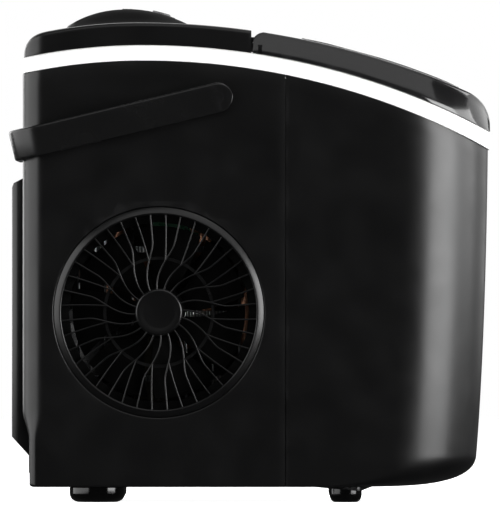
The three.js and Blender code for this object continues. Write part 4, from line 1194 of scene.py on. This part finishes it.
def fan_grille():
    fan = centre_of("fan_grille")
    outer = (grille_high.x - grille_low.x) / 2
    face = grille_low.y
    bars = []
    for index in range(VANES):
        turn = -FIRST_VANE - index * VANE_PITCH
        bars.append(vane("vane", vane_sweep, turn, HUB - 1 * MM, OPENING + 1 * MM, 1.1 * MM, VANE_DEEP - VANE_FACE))
        bars.append(vane("branch", branch_sweep, turn, SPLIT, OPENING + 1 * MM, 1.0 * MM, VANE_DEEP - VANE_FACE))
    for item in bars:
        item.data.transform(Matrix.Translation((0, 0, -VANE_FACE)))
        close_ends(item)
    rings = [
        lathe("rim", grille_rim(outer), 144, closed=True),
        lathe("support", grille_support(), 96, closed=True),
        lathe("hub", grille_hub(), 96),
    ]
    grille = join("fan_grille_vanes", bars + rings)
    along_y(grille, fan.x, face, fan.z)
    soften(grille, 0)
    stand_for(grille, "fan_grille", look="grille_black")


def fan_blade():
    """Seven broad pitched blades with swept leading edges, round a domed hub."""
    fan, axle = centre_of("fan_grille"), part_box("fan_blade")
    front, back = axle[0].y, axle[1].y
    hub, tip, blades, thick = 17 * MM, 56 * MM, 7, 1.3 * MM
    pieces = []
    for index in range(blades):
        rows = []
        for t in arc_steps(12):
            radius = mix(hub - 1 * MM, tip, t)
            start = 2 * math.pi * index / blades + math.radians(10) * t
            wide = math.radians(mix(40, 47, t))
            row = []
            for along in arc_steps(10):
                depth = mix(-2.5 * MM, -11 * MM, along) - 1 * MM * math.sin(along * math.pi)
                place = spoke(radius, start + wide * along)
                row.append((place.x, place.y, depth))
            rows.append(row)
        blade = grid_piece("blade", rows)
        thicken(blade, thick)
        pieces.append(blade)
    dome = [(15 * MM, -(back - front)), (hub, -(back - front)), (hub, -3 * MM)]
    for t in arc_steps(6):
        angle = t * math.pi / 2
        dome.append((hub - 3 * MM * (1 - math.cos(angle)), -3 * MM * (1 - math.sin(angle))))
    dome += [(5 * MM, 0), (0, -0.6 * MM), (0, -2.2 * MM), (15 * MM, -2.6 * MM)]
    pieces.append(lathe("hub", dome, 64, closed=True))
    rotor = join("fan_rotor", pieces)
    along_y(rotor, fan.x, front, fan.z)
    soften(rotor, 0)
    stand_for(rotor, "fan_blade", look="duct_black")


def close_ends(piece):
    bm = bmesh.new()
    bm.from_mesh(piece.data)
    bmesh.ops.holes_fill(bm, edges=bm.edges)
    bmesh.ops.recalc_face_normals(bm, faces=bm.faces)
    bm.to_mesh(piece.data)
    bm.free()


# ---------------------------------------------------------------- feet


def feet():
    """Glossy turned cups: straight sides that round in to a flat pad."""
    for node in ("foot_rear_left", "foot_rear_right", "foot_front_left", "foot_front_right"):
        low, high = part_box(node)
        middle = (low + high) / 2
        radius, height = (high.x - low.x) / 2, high.z
        bowl, rise, lip = 0.36 * radius, 5.6 * MM, 0.4 * MM
        profile = [(0, 0.3 * MM), (radius - bowl - 1 * MM, 0.3 * MM), (radius - bowl - 0.7 * MM, 0)]
        for t in arc_steps(12):
            angle = t * math.pi / 2
            profile.append((radius - bowl * (1 - math.sin(angle)), rise * (1 - math.cos(angle))))
        profile += [(radius, height - lip), (radius - lip, height), (0, height)]
        foot = lathe(f"{node}_turned", profile, 96)
        foot.data.transform(Matrix.Translation((middle.x, middle.y, 0)))
        soften(foot, 0)
        stand_for(foot, node, look="foot_black")


# ---------------------------------------------------------------- everything else


def polished(node, width=0.4 * MM, segments=2, angle=32, look=None):
    """A finished copy of a CAD node: clean faces, rounded edges and smooth shading."""
    source = frame["nodes"][node]
    piece = bpy.data.objects.new(f"{node}_finished", source.data.copy())
    bpy.context.scene.collection.objects.link(piece)
    bm = bmesh.new()
    bm.from_mesh(piece.data)
    bmesh.ops.remove_doubles(bm, verts=bm.verts, dist=1e-5)
    bmesh.ops.dissolve_limit(bm, angle_limit=math.radians(1), verts=bm.verts, edges=bm.edges)
    bm.to_mesh(piece.data)
    bm.free()
    soften(piece, width, segments, angle)
    stand_for(piece, node, look=look)


# ---------------------------------------------------------------- floor, light and camera


def studio():
    size = 6.0
    floor = new_piece(
        "floor",
        [(-size, -size, 0), (size, -size, 0), (size, size, 0), (-size, size, 0)],
        [(0, 1, 2, 3)],
    )
    paper = Look("pale_paper", (0.9, 0.9, 0.9), 0.9)
    paper.set("Emission Color", (1, 1, 1, 1))
    paper.set("Emission Strength", 0.97)
    paper.bump(paper.noise(2 * MM), 0.02 * MM)
    floor.data.materials.append(paper.material)
    floor.visible_glossy = False

    world = bpy.data.worlds.new("studio")
    bpy.context.scene.world = world
    world.use_nodes = True
    tree = world.node_tree
    tree.nodes.clear()
    ray = tree.nodes.new("ShaderNodeLightPath")
    seen = tree.nodes.new("ShaderNodeBackground")
    seen.inputs["Color"].default_value = (1, 1, 1, 1)
    lit = tree.nodes.new("ShaderNodeBackground")
    lit.inputs["Color"].default_value = (0.03, 0.03, 0.03, 1)
    choose = tree.nodes.new("ShaderNodeMixShader")
    output = tree.nodes.new("ShaderNodeOutputWorld")
    tree.links.new(ray.outputs["Is Camera Ray"], choose.inputs[0])
    tree.links.new(lit.outputs[0], choose.inputs[1])
    tree.links.new(seen.outputs[0], choose.inputs[2])
    tree.links.new(choose.outputs[0], output.inputs["Surface"])
    bpy.context.scene.view_settings.view_transform = "Standard"

    softbox("front_strip", 57, 1.3, 0.27, (0.84, 0.66), 15.5)
    softbox("front_side", 92, 1.3, 0.36, (0.82, 0.5), 6)
    softbox("far_wall", 132, 1.8, 0.46, (1.5, 0.8), 4)
    softbox("rear_strip", -77, 1.3, 0.44, (2.3, 1.1), 19)
    softbox("room", 20, 2.6, 2.7, (5.0, 2.4), 30)
    softbox("back_fill", 165, 1.8, 0.9, (0.8, 0.8), 4)
    softbox("far_room", 200, 2.6, 2.7, (5.0, 2.4), 40)
    softbox("far_side", 215, 1.8, 0.5, (0.9, 0.9), 7)
    softbox("overhead", 60, 0.5, 1.6, (0.9, 0.9), 2.5)
    softbox("top_back", 180, 0.9, 1.3, (1.8, 0.7), 6)


def softbox(name, bearing, distance, height, size, power):
    """An area light aimed at the object. A bearing of 0 is the camera's side, and 90 is the object's front."""
    light = bpy.data.lights.new(name, "AREA")
    light.shape = "RECTANGLE"
    light.size, light.size_y = size
    light.energy = power
    lamp = bpy.data.objects.new(name, light)
    angle = math.radians(bearing)
    lamp.location = (distance * math.sin(angle), -distance * math.cos(angle), height)
    aim = Vector((0, 0, 0.15)) - lamp.location
    lamp.visible_camera = False
    lamp.rotation_euler = aim.to_track_quat("-Z", "Y").to_euler()
    bpy.context.scene.collection.objects.link(lamp)


def camera():
    """Looks at the left side from a long way off, level with the middle of the object."""
    distance = 12.0
    middle = (cad_box[0] + cad_box[1]) / 2
    view_width = 0.3235
    data = bpy.data.cameras.new("camera")
    data.sensor_fit = "HORIZONTAL"
    data.sensor_width = 36
    data.lens = data.sensor_width * distance / view_width
    data.clip_end = 50
    lens = bpy.data.objects.new("camera", data)
    lens.location = (middle.x, -HALF - distance, 0.1612)
    lens.rotation_euler = (math.pi / 2, 0, 0)
    bpy.context.scene.collection.objects.link(lens)
    bpy.context.scene.camera = lens


rear_shell()
front_shell()
trim_band()
top_cover()
panel_buttons()
lid_frame()
lid_window()
carry_handle()
handle_pivots()
fan_grille()
fan_blade()
feet()
polished("fan_shroud", look="duct_black")
for name in frame["nodes"]:
    if name not in replaced:
        polished(name)
studio()
camera()
